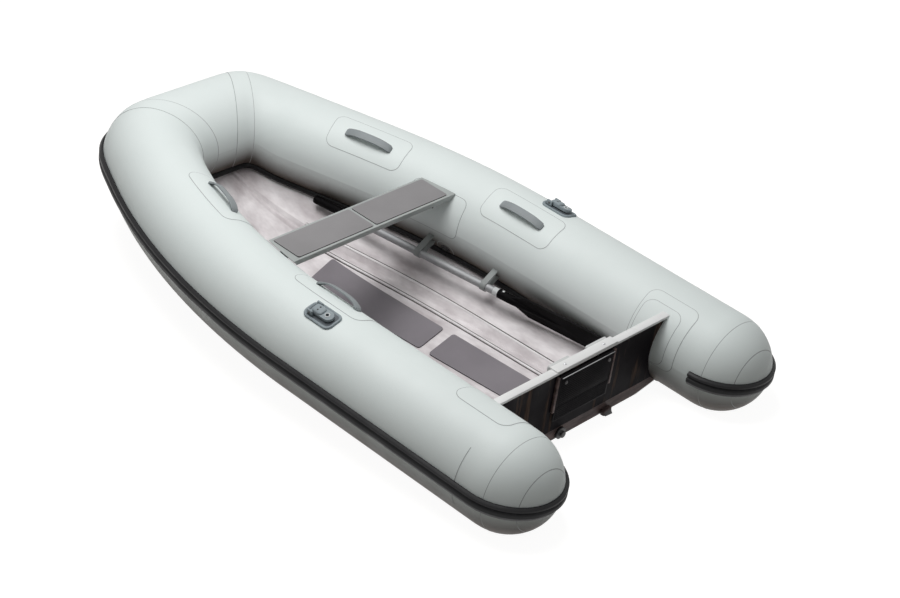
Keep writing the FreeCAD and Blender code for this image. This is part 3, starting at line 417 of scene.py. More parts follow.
# The boat floats a little bow up: this turns places counted along the collar into the frame's.
collar_height = 0.185
bow_up = math.radians(4)
trim = Matrix.Translation((0, 0, collar_height)) @ Matrix.Rotation(-bow_up, 4, "Y")
# A place on the pad's after face: X to port, Y up, Z aft.
on_pad = trim @ Matrix.Translation(pad_middle) @ Matrix(
    ((0, 0, -1, 0), (-1, 0, 0, 0), (0, 1, 0, 0), (0, 0, 0, 1)))
tread_margin = 0.008
tread_line = 0.0016
tread_cells = 72
skirt_height = 0.066
skirt_thickness = 0.0018
skirt_margin = 0.006
skirt_top = 0.002 - pad_height / 2


def tread(name, low, high, lift):
    """Thin raised lines that cross as diamonds between these two heights on the pad."""
    clear()
    bpy.ops.mesh.primitive_grid_add(x_subdivisions=tread_cells, y_subdivisions=tread_cells, size=1)
    lattice = bpy.context.object
    lattice.name = name
    slant = Matrix.Diagonal((0.58, 0.48, 1, 1)) @ Matrix.Rotation(math.radians(45), 4, "Z")
    lattice.data.transform(slant)
    half = pad_breadth / 2 - tread_margin
    for place, direction in (((half, 0, 0), (1, 0, 0)), ((-half, 0, 0), (-1, 0, 0)),
                             ((0, high, 0), (0, 1, 0)), ((0, low, 0), (0, -1, 0))):
        edit(lattice)
        bpy.ops.mesh.bisect(plane_co=place, plane_no=direction, clear_outer=True)
    clear()
    modify(lattice, "WIREFRAME", thickness=tread_line, use_replace=True)
    lattice.data.transform(on_pad @ Matrix.Translation((0, 0, lift + tread_line / 4)))
    return lattice


tread_high = pad_height / 2 - tread_margin
pad_tread = tread("motor_pad_tread", -tread_high, tread_high, pad_thickness)
hand_over(pad_tread, "hull", "motor_pad", mesh_black)


def bar(name, length, width, height, place, rounding=0.0008):
    """A small block with rounded edges, centred at this place."""
    clear()
    bpy.ops.mesh.primitive_cube_add(size=1)
    block = bpy.context.object
    block.name = name
    block.data.transform(Matrix.Diagonal((length, width, height, 1)))
    modify(block, "BEVEL", width=rounding, segments=3)
    block.data.transform(place)
    smooth(block)
    return block


skirt_place = on_pad @ Matrix.Translation((0, skirt_top - skirt_height / 2, 0.0008))
skirt = bar("motor_pad_skirt", pad_breadth, skirt_height, 0.002, skirt_place)
hand_over(skirt, "hull", "motor_pad", mesh_black)
skirt_tread = tread("motor_skirt_tread", skirt_top - skirt_height + skirt_margin,
                    skirt_top - skirt_margin, skirt_thickness)
hand_over(skirt_tread, "hull", "motor_pad", mesh_black)
strip_length = 0.31
strip_place = on_pad @ Matrix.Translation((0, pad_height / 2 - 0.003, pad_thickness + 0.0010))
strip = bar("motor_pad_strip", strip_length, 0.0028, 0.0018, strip_place, 0.0005)
hand_over(strip, "hull", "cap", fitting_steel)
bolt_dull = finish("bolt_dull", paint(112, 110, 111), paint(60, 58, 60), 40.0, 1.8,
                   0.4, 0.6, 900, 0.0001)
bolt_side = 0.128
bolt_rise = 0.042
for name, side in (("port", 1), ("starboard", -1)):
    spot = Matrix.Translation((-side * bolt_side, bolt_rise, pad_thickness + 0.001))
    hand_over(dome("pad_bolt_" + name, 0.008, 0.004, on_pad @ spot), "hull", "motor_pad", bolt_dull)
plug_black = finish("plug_black", paint(24, 22, 24), paint(12, 10, 12), 20.0, 1.5,
                    0.3, 0.5, 900, 0.0002)
plug = softened("drain_plug", "drain_plug_moulding", 0.0022, 3)
hand_over(plug, "hull", "gasket", plug_black, "drain_plug")
bailer_spot = (-0.034, -0.185, -0.172)
bailer_lean = math.radians(-12)
flap_open = math.radians(20)
bailer_place = trim @ Matrix.Translation(bailer_spot) @ Matrix.Rotation(bailer_lean, 4, "X")
bailer = bar("bailer_frame", 0.020, 0.050, 0.030, bailer_place, 0.004)
hand_over(bailer, "hull", "gasket", worn_foot)
flap_place = bailer_place @ Matrix.Translation((-0.012, 0, -0.004)) @ Matrix.Rotation(flap_open, 4, "Y")
flap = bar("bailer_flap", 0.005, 0.040, 0.026, flap_place, 0.002)
hand_over(flap, "hull", "gasket", plug_black)

# Floor pads: four sheets of dark non-skid foam with rounded corners, cut out by hand and stuck to
# the bottom plating on each side of the keel. Their cut edges are coloured darker as painted shade.
foam_grey = finish("foam_grey", paint(144, 139, 144), paint(127, 122, 127), 3.0, 1.5,
                   0.75, 0.9, 700, 0.0006, shine=0.25)
# Painted shade: the darker colour of the upright sides of the foam sheets.
painted_shade_foam_side = finish("painted_shade_foam_side", paint(52, 50, 53), paint(42, 40, 43), 9.0, 1.5,
                   0.8, 0.9, 700, 0.0004, shine=0.2)
pad_corner = 0.014
foam_depth = 0.006
corner_turn = 0.8
foam_rim = 0.0012


def pick(piece, test, kind="faces"):
    """In edit mode, select only the faces, edges or vertices that pass the test."""
    mesh = bmesh.from_edit_mesh(piece.data)
    bpy.ops.mesh.select_all(action="DESELECT")
    for item in getattr(mesh, kind):
        if test(item):
            item.select_set(True)
    mesh.select_flush_mode()
    bmesh.update_edit_mesh(piece.data)


def foam_sheet(node, name, corner=0.0):
    """A CAD pad with a soft rim and, where a radius is given, round corners."""
    sheet = plain_copy(node, name)
    if corner:
        edit(sheet, "EDGE")
        pick(sheet, lambda edge: edge.calc_length() < foam_depth
             and edge.calc_face_angle(0) > corner_turn, "edges")
        bpy.ops.mesh.bevel(offset=corner, segments=6, affect="EDGES")
        clear()
    modify(sheet, "BEVEL", width=foam_rim, segments=2, limit_method="ANGLE", angle_limit=math.radians(50))
    smooth(sheet)
    return sheet


def cut_side(face):
    """The upright sides of a sheet of foam."""
    return int(abs(face.normal.z) < 0.6)


for side in ("port", "starboard"):
    for end in ("aft", "fore"):
        node = f"floor_pad_{side}_{end}"
        pad = foam_sheet(node, f"floor_foam_{side}_{end}", pad_corner)
        finish_faces(pad, (foam_grey, painted_shade_foam_side), cut_side)
        hand_over(pad, "hull", "floor_pad", None, node)

# Collar: three air chambers of pale coated fabric, one down each side and one across the bow. The
# coating is matt, with a fine cloth grain and faint clouds where hands have been. Its underside has
# painted shade: a brownish grey that deepens as the skin faces further down.
tube_fabric = finish("tube_fabric", paint(231, 238, 236), paint(221, 229, 227), 1.4, 1.4,
                     0.5, 0.62, 1100, 0.0003)
# Painted shade: the colour the tube fabric darkens to where its skin faces down.
painted_shade_colour = paint(68, 58, 50)
tree = tube_fabric.node_tree
facing = tree.nodes.new("ShaderNodeTexCoord")
parts = tree.nodes.new("ShaderNodeSeparateXYZ")
below = tree.nodes.new("ShaderNodeMapRange")
below.interpolation_type = "SMOOTHSTEP"
below.inputs["From Min"].default_value = 0.05
below.inputs["From Max"].default_value = -0.62
painted_shade_mix = tree.nodes.new("ShaderNodeMix")
painted_shade_mix.data_type = "RGBA"
painted_shade_mix.inputs["B"].default_value = painted_shade_colour
tree.links.new(facing.outputs["Normal"], parts.inputs["Vector"])
tree.links.new(parts.outputs["Z"], below.inputs["Value"])
tree.links.new(below.outputs["Result"], painted_shade_mix.inputs["Factor"])
tree.links.new(tree.nodes["clouds"].outputs["Color"], painted_shade_mix.inputs["A"])
tree.links.new(painted_shade_mix.outputs["Result"], tree.nodes["Principled BSDF"].inputs["Base Color"])
for name in ("port_tube", "starboard_tube", "bow_tube"):
    dress(name, tube_fabric)

# Collar joints: bands and patches of the same fabric, glued over the chambers where two pieces meet
# and under every fitting that pulls. Each has a thin grey line of glue along its rim.
tube_radius = 0.205
rise_start = 1.035
bow_station = 2.2491
bow_rise = 0.060
rise_power = 4.5
cone_start = -0.212
cone_length = 0.221
fabric = 0.0009
glue_line = 0.0024
handle_angle = 119
handle_stations = {"aft": 0.810, "fore": 1.6506}
sheet_cells = 44
seam_grey = finish("seam_grey", paint(176, 180, 180), paint(150, 153, 154), 12.0, 1.5,
                   0.5, 0.65, 1100, 0.0003)


def on_tube(along, angle, lift=0.0):
    """A point off the port tube's skin, so far along it and at this angle up from outboard."""
    turn = max(along - straight_run, 0) / bend_radius
    middle = Vector((straight_run + min(along - straight_run, 0), half_spacing - bend_radius, 0))
    outboard = Vector((math.sin(turn), math.cos(turn), 0))
    middle += outboard * bend_radius
    middle.z = bow_rise * (max(middle.x - rise_start, 0) / (bow_station - rise_start)) ** rise_power
    taper = min(max((cone_start - along) / cone_length, 0), 1)
    slope = Vector((-tube_radius * taper, cone_length * math.sqrt(1 - taper ** 2))).normalized()
    out = outboard * math.cos(angle) + Vector((0, 0, math.sin(angle)))
    middle += out * (tube_radius * math.sqrt(1 - taper ** 2) + lift * slope.y)
    return trim @ (middle + Vector((lift * slope.x, 0, 0)))


def wrap(piece, along, angle):
    """Lay a flat piece on the port tube: its X runs forward and its Y outboard over the skin."""
    for vertex in piece.data.vertices:
        x, y, z = vertex.co
        vertex.co = on_tube(along + x, math.radians(angle) - y / tube_radius, z)


def rounded_sheet(name, length, breadth, corner, rims, cells=sheet_cells):
    """A sheet with round corners. Each rim, from the outermost, has an inset and a height."""
    clear()
    bpy.ops.mesh.primitive_grid_add(x_subdivisions=cells, y_subdivisions=cells, size=cells)
    sheet = bpy.context.object
    sheet.name = name
    rings = cells // 2
    for vertex in sheet.data.vertices:
        across = max(abs(vertex.co.x), abs(vertex.co.y))
        number = round(rings - across)
        inset, height = rims[min(number, len(rims) - 1)]
        half = Vector((length / 2 - inset, breadth / 2 - inset))
        turn = min(max(corner - inset, 0.0005), half.x, half.y)
        spot = Vector((vertex.co.x * half.x, vertex.co.y * half.y)) / max(across, 1e-6)
        inner = Vector((min(max(spot.x, turn - half.x), half.x - turn),
                        min(max(spot.y, turn - half.y), half.y - turn)))
        if (spot - inner).length > 1e-9:
            spot = inner + (spot - inner).normalized() * turn
        share = min(across / (rings - len(rims) + 1), 1)
        vertex.co = (spot.x * share, spot.y * share, height)
    return sheet


def ring_of(face):
    """How many rings of faces lie outside this one in a rounded sheet."""
    row, column = divmod(face.index, sheet_cells)
    return min(row, column, sheet_cells - 1 - row, sheet_cells - 1 - column)


def close_sheet(sheet, depth):
    """Give a sheet its thickness inwards."""
    modify(sheet, "SOLIDIFY", thickness=depth, offset=-1)
    smooth(sheet, 40)


def patch(name, along, angle, length, breadth, corner):
    """A reinforcing patch glued to the port tube."""
    rims = [(0, 0.0001), (0.0003, fabric), (glue_line, fabric + 0.0002),
            (glue_line + 0.004, fabric + 0.0001)]
    sheet = rounded_sheet(name, length, breadth, corner, rims)
    finish_faces(sheet, (tube_fabric, seam_grey), lambda face: int(ring_of(face) < 2))
    wrap(sheet, along, angle)
    close_sheet(sheet, 0.0006)
    return sheet


def glue_down(piece):
    """A glued piece of fabric belongs to the collar. It brings its own materials."""
    hand_over(piece, "hull", "tube", None)


for name, place in (("handle_aft", (handle_stations["aft"], handle_angle, 0.385, 0.170, 0.040)),
                    ("handle_fore", (handle_stations["fore"], handle_angle, 0.385, 0.170, 0.040)),
                    ("seat", (1.215, 162, 0.300, 0.190, 0.035))):
    port_patch = patch(f"{name}_patch_port", *place)
    glue_down(port_patch)
    glue_down(mirror_copy(port_patch, f"{name}_patch_starboard"))
glue_down(patch("transom_patch_port", -0.045, 137, 0.270, 0.370, 0.045))
upper_lift = Matrix.Translation((0, -0.0007, 0.0003))
for name, place in (("lower", (-0.012, 150, 0.250, 0.300, 0.045)),
                    ("upper", (0.006, 156, 0.185, 0.245, 0.045))):
    sheet = patch("transom_patch_pattern", *place)
    if name == "upper":
        sheet.data.transform(upper_lift)
    glue_down(mirror_copy(sheet, f"transom_patch_starboard_{name}"))
    bpy.data.objects.remove(sheet)


def tube_band(name, start, end, steps, low=0.0, high=math.tau):
    """A band of fabric round the port tube between two angles, its forward rim first."""
    clear()
    bpy.ops.mesh.primitive_grid_add(x_subdivisions=steps, y_subdivisions=96, size=1)
    band = bpy.context.object
    band.name = name
    rim = min(glue_line / (start - end), 1)
    for vertex in band.data.vertices:
        share = 0.5 - vertex.co.x
        step = round(share * steps)
        share = step * rim if step < 2 else rim + (step - 1) / max(steps - 1, 1) * (1 - rim)
        vertex.co = on_tube(start - share * (start - end), high - (vertex.co.y + 0.5) * (high - low))
    finish_faces(band, (tube_fabric, seam_grey), lambda face: int(face.index % steps == steps - 1))
    edit(band)
    bpy.ops.mesh.remove_doubles(threshold=0.00001)
    clear()
    modify(band, "SOLIDIFY", thickness=fabric, offset=1)
    smooth(band, 50)
    return band


seam = tube_band("stern_seam_port", -0.1350, -0.1374, 1, math.radians(-25), math.radians(47))
glue_down(seam)
glue_down(mirror_copy(seam, "stern_seam_starboard"))
for name, start, end, steps in (("cone_cap", -0.270, -0.433, 24), ("cone_tip", -0.382, -0.433, 14)):
    port_band = tube_band(name + "_port", start, end, steps)
    glue_down(port_band)
    glue_down(mirror_copy(port_band, name + "_starboard"))

fan_centre = Vector((1.8738, 0.046, 0))
mitre_heading = math.radians(58)
tape_width = 0.085
bow_tape = merged_copy("bow_tube", "bow_tape_port")
forward = Vector((math.cos(mitre_heading), -math.sin(mitre_heading), 0))
level_forward = trim.to_3x3() @ forward
for offset, ways in ((0.0005, {"clear_inner": True}), (tape_width, {"clear_outer": True}),
                     (glue_line, {}), (tape_width - glue_line, {})):
    edit(bow_tape)
    bpy.ops.mesh.bisect(plane_co=trim @ (fan_centre + forward * offset), plane_no=level_forward, **ways)
clear()


def tape_rim(face):
    """The glue lines along a bow tape's two edges."""
    offset = (face.center - trim @ fan_centre).dot(level_forward)
    return int(offset < glue_line or offset > tape_width - glue_line)


edit(bow_tape)
pick(bow_tape, lambda face: face.calc_center_median().y < 0)
bpy.ops.mesh.delete(type="FACE")
clear()
finish_faces(bow_tape, (tube_fabric, seam_grey), tape_rim)
modify(bow_tape, "SOLIDIFY", thickness=fabric, offset=1)
smooth(bow_tape, 50)
glue_down(bow_tape)
glue_down(mirror_copy(bow_tape, "bow_tape_starboard"))

# Rub strake and gasket: extruded rubber. The strake is a dark grey profile with two ribs, glued
# round the collar's widest line, and the gasket is a black bead between collar and flange. The bead
# is swollen past its own size, and its extra black is painted shade for the gap under the collar.
strake_rubber = finish("strake_rubber", paint(24, 24, 26), paint(14, 14, 16), 5.0, 1.8,
                       0.40, 0.58, 900, 0.0002, shine=0.22)
strake_half = 0.029
groove_lift = 0.0075
gasket_swell_into_shade = 0.0105
strake = merged_copy("rub_strake", "strake_moulding")
for vertex in strake.data.vertices:
    spot = trim.inverted() @ vertex.co
    rise = bow_rise * (max(spot.x - rise_start, 0) / (bow_station - rise_start)) ** rise_power
    share = min(abs(spot.z - rise) / strake_half, 1)
    vertex.co.z += groove_lift * (1 - share ** 2)
modify(strake, "BEVEL", width=0.0034, segments=3, limit_method="ANGLE", angle_limit=math.radians(30),
       use_clamp_overlap=True)
smooth(strake, 50)
hand_over(strake, "hull", "strake", strake_rubber, "rub_strake")
# The gasket's swelling is painted shade: black rubber laid where the gap is only in shadow.
gasket = merged_copy("hull_gasket", "gasket_bead")
edit(gasket)
bpy.ops.transform.shrink_fatten(value=gasket_swell_into_shade)
clear()
smooth(gasket, 60)
hand_over(gasket, "hull", "gasket", black_rubber_and_shade, "hull_gasket")

# Valves: a screw cap in a moulded ring, one to each chamber. The side chambers' valves are on their
# inner side, each with a round patch glued under it, and the bow's faces the cockpit.
for side in ("port", "starboard"):
    valve = softened("valve_" + side, "valve_moulding_" + side, 0.0012, 2)
    hand_over(valve, "hull", "valve", plug_black, "valve_" + side)
bow_valve = softened("valve_bow", "valve_moulding_bow", 0.0012, 2)
hand_over(bow_valve, "hull", "valve", plug_black, "valve_bow")
valve_patch = patch("valve_patch_port", 1.1347, 213, 0.092, 0.092, 0.046)
glue_down(valve_patch)
glue_down(mirror_copy(valve_patch, "valve_patch_starboard"))

# Grab handles: moulded rubber straps that arch over the inner side of the tubes, with a finely
# dotted grip. Both ends thicken into feet that are glued to a patch.
handle_grey = finish("handle_grey", paint(146, 152, 154), paint(124, 130, 132), 14.0, 1.5,
                     0.45, 0.65, 1200, 0.0003)
handle_half = 0.1175
handle_width = 0.034
handle_top = 0.0335
strap_thickness = 0.0070
foot_thickening = 0.0050
foot_middle = 0.0030
crown_rise = handle_top - 0.0065
crown_slimming = 0.10


def grab_handle(name, along):
    """An arch of rubber over the port tube, square at its feet and slimmer at its crown."""
    clear()
    bpy.ops.mesh.primitive_cube_add(size=1)
    handle = bpy.context.object
    handle.name = name
    edit(handle, "EDGE")
    pick(handle, lambda edge: abs(edge.verts[0].co.x - edge.verts[1].co.x) > 0.5, "edges")
    bpy.ops.mesh.subdivide(number_cuts=35)
    clear()
    modify(handle, "BEVEL", width=0.14, segments=3, limit_method="ANGLE", angle_limit=math.radians(60),
           use_clamp_overlap=False)
    for vertex in handle.data.vertices:
        reach = max(-1.0, min(1.0, vertex.co.x * 2))
        arch = 1 - abs(reach) ** 3.2
        thick = strap_thickness + foot_thickening * abs(reach) ** 4
        middle = foot_middle + crown_rise * arch
        narrow = 1 - crown_slimming * arch
        vertex.co = (reach * handle_half, vertex.co.y * handle_width * narrow,
                     middle + vertex.co.z * thick)
    wrap(handle, along, handle_angle)
    smooth(handle, 50)
    return handle


for end, along in handle_stations.items():
    handle = grab_handle(f"grab_handle_port_{end}", along)
    hand_over(handle, "hull", "handle", handle_grey, f"handle_port_{end}")
    twin = mirror_copy(handle, f"grab_handle_starboard_{end}")
    hand_over(twin, "hull", "handle", handle_grey, f"handle_starboard_{end}")

# Folding oarlocks: a rubber base with a raised rim, glued to the top of each tube. A thick rubber
# tongue swings on a steel pin between two ears, with a pale ring round the hole for the oar's pin.
oarlock_grey = finish("oarlock_grey", paint(144, 155, 159), paint(124, 134, 139), 18.0, 1.5,
                      0.5, 0.7, 1200, 0.0004)
oarlock_shade = finish("oarlock_shade", paint(84, 91, 96), paint(70, 77, 82), 18.0, 1.5,
                       0.55, 0.75, 1200, 0.0004)
ring_white = finish("ring_white", paint(226, 228, 228), paint(212, 215, 215), 30.0, 1.5,
                    0.3, 0.45, 900, 0.0001)
lock_along = 0.735
lock_angle = 75
pin_offset = 0.040
pin_height = 0.015
tongue_top = pin_height + 0.006
ear_side = 0.0279
ear_height = 0.0145
pin_half_length = 0.0322
stud_side = 0.008
hole_offset = pin_offset - 0.068
cushion_offset = pin_offset - 0.024


def tube_frame(along, angle):
    """A place on the port tube's skin: X forward, Y outboard over the skin, Z straight out of it."""
    turn = math.radians(angle)
    foot = on_tube(along, turn)
    out = (on_tube(along, turn, 0.01) - foot).normalized()
    forward = (on_tube(along + 0.001, turn) - on_tube(along - 0.001, turn)).normalized()
    return Matrix.Translation(foot) @ Matrix((forward, out.cross(forward), out)).transposed().to_4x4()


def torus(name, radius, thick, place):
    """A ring of round section lying flat at this place."""
    clear()
    bpy.ops.mesh.primitive_torus_add(major_radius=radius, minor_radius=thick,
                                     major_segments=40, minor_segments=12)
    ring = bpy.context.object
    ring.name = name
    ring.data.transform(place)
    smooth(ring, 60)
    return ring


lock_frame = tube_frame(lock_along, lock_angle)
lock_rims = [(0, -0.001), (0.0004, 0.0050), (0.0030, 0.0078), (0.0080, 0.0078), (0.0115, 0.0048),
             (0.0140, 0.0044)]
base = rounded_sheet("oarlock_plate_port", 0.150, 0.092, 0.030, lock_rims)
finish_faces(base, (oarlock_grey, oarlock_shade), lambda face: int(ring_of(face) > 3))
wrap(base, lock_along, lock_angle)
close_sheet(base, 0.003)
pin_spot = lock_frame @ Matrix.Translation((pin_offset, 0, pin_height))
lock_pieces = [(base, "oarlock_plate", None, True)]
for number, name in ((1, "outer"), (-1, "inner")):
    ear_spot = lock_frame @ Matrix.Translation((pin_offset, number * ear_side, ear_height))
    ear = bar(f"oarlock_ear_{name}_port", 0.030, 0.009, 0.023, ear_spot, 0.0035)
    lock_pieces.append((ear, f"oarlock_ear_{name}", oarlock_grey, False))
    end_turn = Matrix.Rotation(math.radians(-90 * number), 4, "X")
    end_spot = pin_spot @ Matrix.Translation((0, number * pin_half_length, 0)) @ end_turn
    pin_end = dome(f"oarlock_pin_{name}_port", 0.0052, 0.0028, end_spot)
    lock_pieces.append((pin_end, f"oarlock_pin_{name}", bolt_dull, False))
for piece, name, material, stands in lock_pieces:
    hand_over(piece, "hull", "oarlock", material, *(["oarlock_base_port"] if stands else []))
    twin = mirror_copy(piece, name + "_starboard")
    hand_over(twin, "hull", "oarlock", material, *(["oarlock_base_starboard"] if stands else []))
tongue = softened("oarlock_tongue_port", "oarlock_flap_port", 0.0028, 3)
hole_spot = lock_frame @ Matrix.Translation((hole_offset, 0, tongue_top))
eyelet = torus("oarlock_eyelet_port", 0.0092, 0.0019, hole_spot)
cushion_rims = [(0, -0.006), (0.0004, 0.0020), (0.0016, 0.0044), (0.0040, 0.0062), (0.0080, 0.0074),
                (0.0130, 0.0080)]
cushion = rounded_sheet("oarlock_cushion_port", 0.054, 0.045, 0.014, cushion_rims, 24)
cushion.data.transform(lock_frame @ Matrix.Translation((cushion_offset, 0, tongue_top)))
close_sheet(cushion, 0.0008)
tongue_pieces = [(tongue, "oarlock_flap", oarlock_grey, True),
                 (eyelet, "oarlock_eyelet", ring_white, False),
                 (cushion, "oarlock_cushion", oarlock_grey, False)]
for number, name in ((1, "outer"), (-1, "inner")):
    spot = lock_frame @ Matrix.Translation((cushion_offset, number * stud_side, tongue_top + 0.0076))
    stud = dome(f"oarlock_stud_{name}_port", 0.0040, 0.0020, spot)
    tongue_pieces.append((stud, f"oarlock_stud_{name}", plug_black, False))
for piece, name, material, stands in tongue_pieces:
    twin = mirror_copy(piece, name + "_starboard")
    for part, body in ((piece, "oarlock_tongue_port"), (twin, "oarlock_tongue_starboard")):
        hand_over(part, body, "oarlock", material, *([body] if stands else []))

# Bench seat: a box of thin painted aluminium between the tubes, with two sheets of grey foam let
# into its top. It rests on a black bracket at each end and lifts out.
seat_paint = finish("seat_paint", paint(172, 177, 175), paint(154, 159, 157), 4.0, 1.8,
                    0.3, 0.45, 900, 0.0002)
seat_foam = finish("seat_foam", paint(148, 146, 147), paint(136, 134, 135), 4.0, 1.5,
                   0.7, 0.85, 800, 0.0005, shine=0.25)
seat_box = softened("seat_frame", "seat_box", 0.002, 3)
hand_over(seat_box, "seat", "seat", seat_paint, "seat_frame")
for side in ("port", "starboard"):
    pad = foam_sheet("seat_pad_" + side, "seat_foam_" + side)
    # Painted shade: the seat foam's upright sides are coloured darker, as on the floor pads.
    finish_faces(pad, (seat_foam, painted_shade_foam_side), cut_side)
    hand_over(pad, "seat", "seat_pad", None, "seat_pad_" + side)
    bracket = softened("seat_bracket_" + side, "seat_bracket_plate_" + side, 0.0012, 2)
    hand_over(bracket, "hull", "bracket", plug_black, "seat_bracket_" + side)

# Oars: an anodised aluminium shaft with a ribbed grip, a pale ribbed collar that a spring button
# locks, and a blade moulded in black plastic. They lie along the tubes in two rubber straps.
shaft_alloy = finish("shaft_alloy", paint(164, 165, 166), paint(144, 145, 147), 8.0, 1.5,
                     0.42, 0.55, 900, 0.0001)
shaft_alloy.node_tree.nodes["Principled BSDF"].inputs["Metallic"].default_value = 0.35
collar_grey = finish("collar_grey", paint(214, 216, 216), paint(200, 203, 203), 20.0, 1.5,
                     0.35, 0.5, 900, 0.0002)
strap_grey = finish("strap_grey", paint(148, 151, 150), paint(130, 134, 133), 9.0, 1.5,
                    0.45, 0.6, 900, 0.0003)
oar_black = finish("oar_black", paint(9, 8, 9), paint(5, 4, 5), 9.0, 1.5,
                   0.5, 0.65, 900, 0.0003, shine=0.06)
oar_nose = Vector((1.760, 0.2810, -0.134))
oar_toe = Vector((0.180, 0.4300, -0.097))
grip_length = 0.200
grip_radius = 0.019
blade_length = 0.560
collar_length = 0.026
shaft_radius = 0.017
oar_length = (oar_toe - oar_nose).length
blade_start = oar_length - blade_length
along_oar = (oar_toe - oar_nose).normalized()
beside_oar = Vector((0, 0, 1)).cross(along_oar).normalized()


def on_oar(along):
    """A place on the port oar's middle line: X along the shaft towards the blade, Z up."""
    turn = Matrix((along_oar, beside_oar, along_oar.cross(beside_oar))).transposed().to_4x4()
    return trim @ Matrix.Translation(oar_nose + along_oar * along) @ turn


def turned(name, profile, place, sides=32):
    """A round piece with this profile of distances along its X and radii."""
    clear()
    bpy.ops.mesh.primitive_grid_add(x_subdivisions=len(profile) - 1, y_subdivisions=sides, size=1)
    piece = bpy.context.object
    piece.name = name
    for vertex in piece.data.vertices:
        along, radius = profile[round((vertex.co.x + 0.5) * (len(profile) - 1))]
        turn = vertex.co.y * math.tau
        vertex.co = (along, radius * math.cos(turn), radius * math.sin(turn))
    piece.data.transform(place)
    edit(piece)
    bpy.ops.mesh.remove_doubles(threshold=0.00001)
    bpy.ops.mesh.normals_make_consistent(inside=False)
    clear()
    smooth(piece, 40)
    return piece


rib_depth = 0.0012
grip_ribs = [(0.030 + 0.0035 * step, grip_radius - rib_depth * (step % 2)) for step in range(41)]
grip_profile = [(0, 0), (0, 0.010), (0.0015, 0.0145), (0.005, 0.0180), (0.010, grip_radius)] + grip_ribs
grip_profile += [(0.188, grip_radius), (0.196, 0.0184), (grip_length, 0.0176), (grip_length, 0)]
collar_ribs = [(0.0005 + 0.0025 * step, grip_radius - rib_depth * (step % 2)) for step in range(11)]
collar_profile = [(0, shaft_radius)] + collar_ribs + [(collar_length, shaft_radius)]
for node, name, profile, start, material, slot in (
        ("grip", "grip_moulding", grip_profile, 0, oar_black, "oar_black"),
        ("collar", "collar_ribs", collar_profile, blade_start - collar_length, collar_grey, "oar_strap")):
    piece = turned(f"oar_{name}_port", profile, on_oar(start))
    hand_over(piece, "oar_port", slot, material, f"oar_port_{node}")
    twin = mirror_copy(piece, f"oar_{name}_starboard")
    hand_over(twin, "oar_starboard", slot, material, f"oar_starboard_{node}")
button_spot = on_oar(blade_start + 0.022) @ Matrix.Translation((0, 0, 0.0188))
button = dome("oar_button_port", 0.0060, 0.0040, button_spot)
hand_over(button, "oar_port", "oar_strap", ring_white)
hand_over(mirror_copy(button, "oar_button_starboard"), "oar_starboard", "oar_strap", ring_white)
for side in ("port", "starboard"):
    dress(f"oar_{side}_shaft", shaft_alloy)
    blade = softened(f"oar_{side}_blade", f"oar_blade_moulding_{side}", 0.0025, 3)
    hand_over(blade, "oar_" + side, "oar_black", oar_black, f"oar_{side}_blade")
    for end in ("aft", "fore"):
        strap = softened(f"oar_strap_{side}_{end}", f"strap_band_{side}_{end}", 0.0008, 2)
        hand_over(strap, "hull", "oar_strap", strap_grey, f"oar_strap_{side}_{end}")

# Studio: a plain pale floor at the waterline, cut out where the hull dips below it. One soft box
# hangs overhead, and the surround is an even white.
plating = nodes["hull_plating_port"]
station_step = 0.0125
floor_tuck = 0.003
stem_half_width = 0.008
floor_size = 60
outline = []
for step in range(190):
    station = station_step * step
    hit, spot, _, _ = plating.ray_cast(Vector((station, 0.9, 0)), Vector((0, -1, 0)))
    if hit and spot.y > 0.03:
        outline.append((station, spot.y - floor_tuck))
_, stem, _, _ = plating.ray_cast(Vector((2.6, 0.012, 0)), Vector((-1, 0, 0)))
outline.append((stem.x - 0.004, stem_half_width))
loop = outline + [(x, -y) for x, y in reversed(outline)]
clear()
bpy.ops.mesh.primitive_plane_add(size=floor_size, location=(0, 0, 0))
floor = bpy.context.object
floor.name = "studio_floor"
edit(floor)
bpy.ops.mesh.delete(type="ONLY_FACE")
bpy.ops.mesh.primitive_circle_add(vertices=len(loop), radius=1)
mesh = bmesh.from_edit_mesh(floor.data)
mesh.verts.ensure_lookup_table()
for vertex, (x, y) in zip(mesh.verts[4:], loop):
    vertex.co = (x, y, 0)
bmesh.update_edit_mesh(floor.data)
bpy.ops.mesh.select_all(action="SELECT")
bpy.ops.mesh.fill(use_beauty=False)
bpy.ops.mesh.normals_make_consistent(inside=False)
clear()


def looked_at(tree):
    """1 where the camera, a reflection or clear glass looks, 0 for the light that falls on things."""
    rays = tree.nodes.new("ShaderNodeLightPath")
    seen = tree.nodes.new("ShaderNodeMath")
    seen.operation = "MAXIMUM"
    through = tree.nodes.new("ShaderNodeMath")
    through.operation = "MAXIMUM"
    tree.links.new(rays.outputs["Is Camera Ray"], seen.inputs[0])
    tree.links.new(rays.outputs["Is Glossy Ray"], seen.inputs[1])
    tree.links.new(seen.outputs[0], through.inputs[0])
    tree.links.new(rays.outputs["Is Transmission Ray"], through.inputs[1])
    return through.outputs[0]


floor_white = bpy.data.materials.new("floor_white")
floor_white.use_nodes = True
tree = floor_white.node_tree
shader = tree.nodes["Principled BSDF"]
shader.inputs["Base Color"].default_value = (0.30, 0.285, 0.27, 1)
shader.inputs["Roughness"].default_value = 0.9
shader.inputs["Specular IOR Level"].default_value = 0.0
shader.inputs["Emission Color"].default_value = (1, 1, 1, 1)
glow = tree.nodes.new("ShaderNodeMath")
glow.operation = "MULTIPLY"
glow.inputs[1].default_value = 0.93
tree.links.new(looked_at(tree), glow.inputs[0])
tree.links.new(glow.outputs[0], shader.inputs["Emission Strength"])
floor.data.materials.append(floor_white)

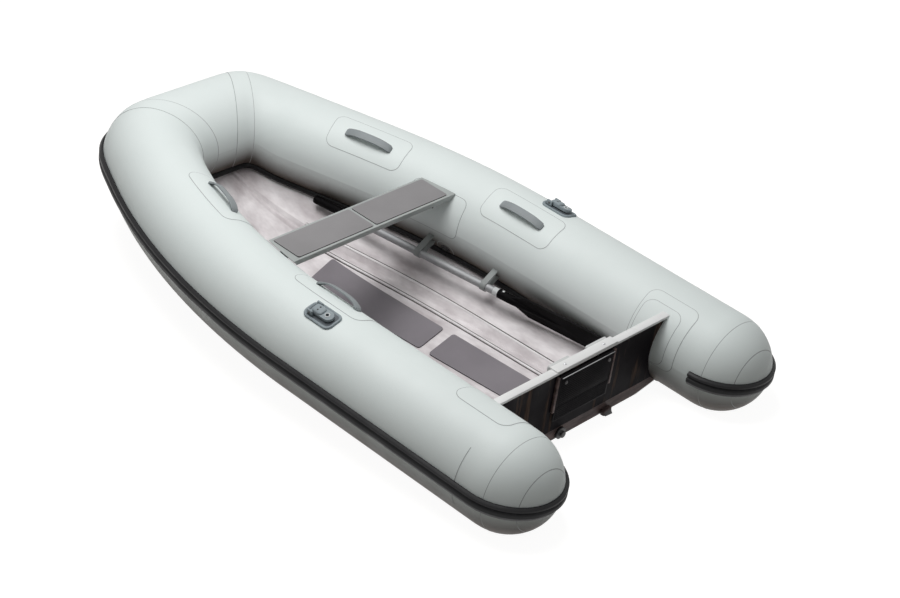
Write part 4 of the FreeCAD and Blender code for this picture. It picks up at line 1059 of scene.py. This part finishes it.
world = bpy.data.worlds.new("studio")
bpy.context.scene.world = world
world.use_nodes = True
tree = world.node_tree
even = tree.nodes["Background"]
even.inputs["Color"].default_value = (1, 1, 1, 1)
even.inputs["Strength"].default_value = 0.20
white = tree.nodes.new("ShaderNodeBackground")
white.inputs["Color"].default_value = (1, 1, 1, 1)
white.inputs["Strength"].default_value = 1.0
choice = tree.nodes.new("ShaderNodeMixShader")
tree.links.new(looked_at(tree), choice.inputs[0])
tree.links.new(even.outputs[0], choice.inputs[1])
tree.links.new(white.outputs[0], choice.inputs[2])
tree.links.new(choice.outputs[0], tree.nodes["World Output"].inputs["Surface"])

box_spot = Vector((1.5, 0.6, 4.6))
box_aim = Vector((0.9, 0, 0.2))
soft_box = bpy.data.lights.new("overhead_box", "AREA")
soft_box.size = 3.0
soft_box.energy = 158
holder = bpy.data.objects.new("overhead_box", soft_box)
bpy.context.scene.collection.objects.link(holder)
holder.location = box_spot
holder.rotation_euler = (box_aim - box_spot).to_track_quat("-Z", "Y").to_euler()

# Camera: above the port quarter with a long lens, tipped a little to one side. The object fills the
# frame as it does in the photograph.
camera_spot = Vector((-4.3318, 5.8194, 4.7750))
camera_heading = math.radians(-49.236)
camera_dip = math.radians(30.401)
camera_roll = math.radians(5.399)
ahead = Vector((math.cos(camera_dip) * math.cos(camera_heading),
                math.cos(camera_dip) * math.sin(camera_heading), -math.sin(camera_dip)))
level = ahead.cross(Vector((0, 0, 1))).normalized()
upright = level.cross(ahead)
right = level * math.cos(camera_roll) + upright * math.sin(camera_roll)
up = upright * math.cos(camera_roll) - level * math.sin(camera_roll)
lens = bpy.data.cameras.new("photo_camera")
lens.lens = 88.456
lens.sensor_width = 36.0
camera = bpy.data.objects.new("photo_camera", lens)
bpy.context.scene.collection.objects.link(camera)
facing_photo = Matrix((right, up, -ahead)).transposed().to_4x4()
camera.matrix_world = Matrix.Translation(camera_spot) @ facing_photo
bpy.context.scene.camera = camera
bpy.context.scene.view_settings.view_transform = "Standard"

clear()
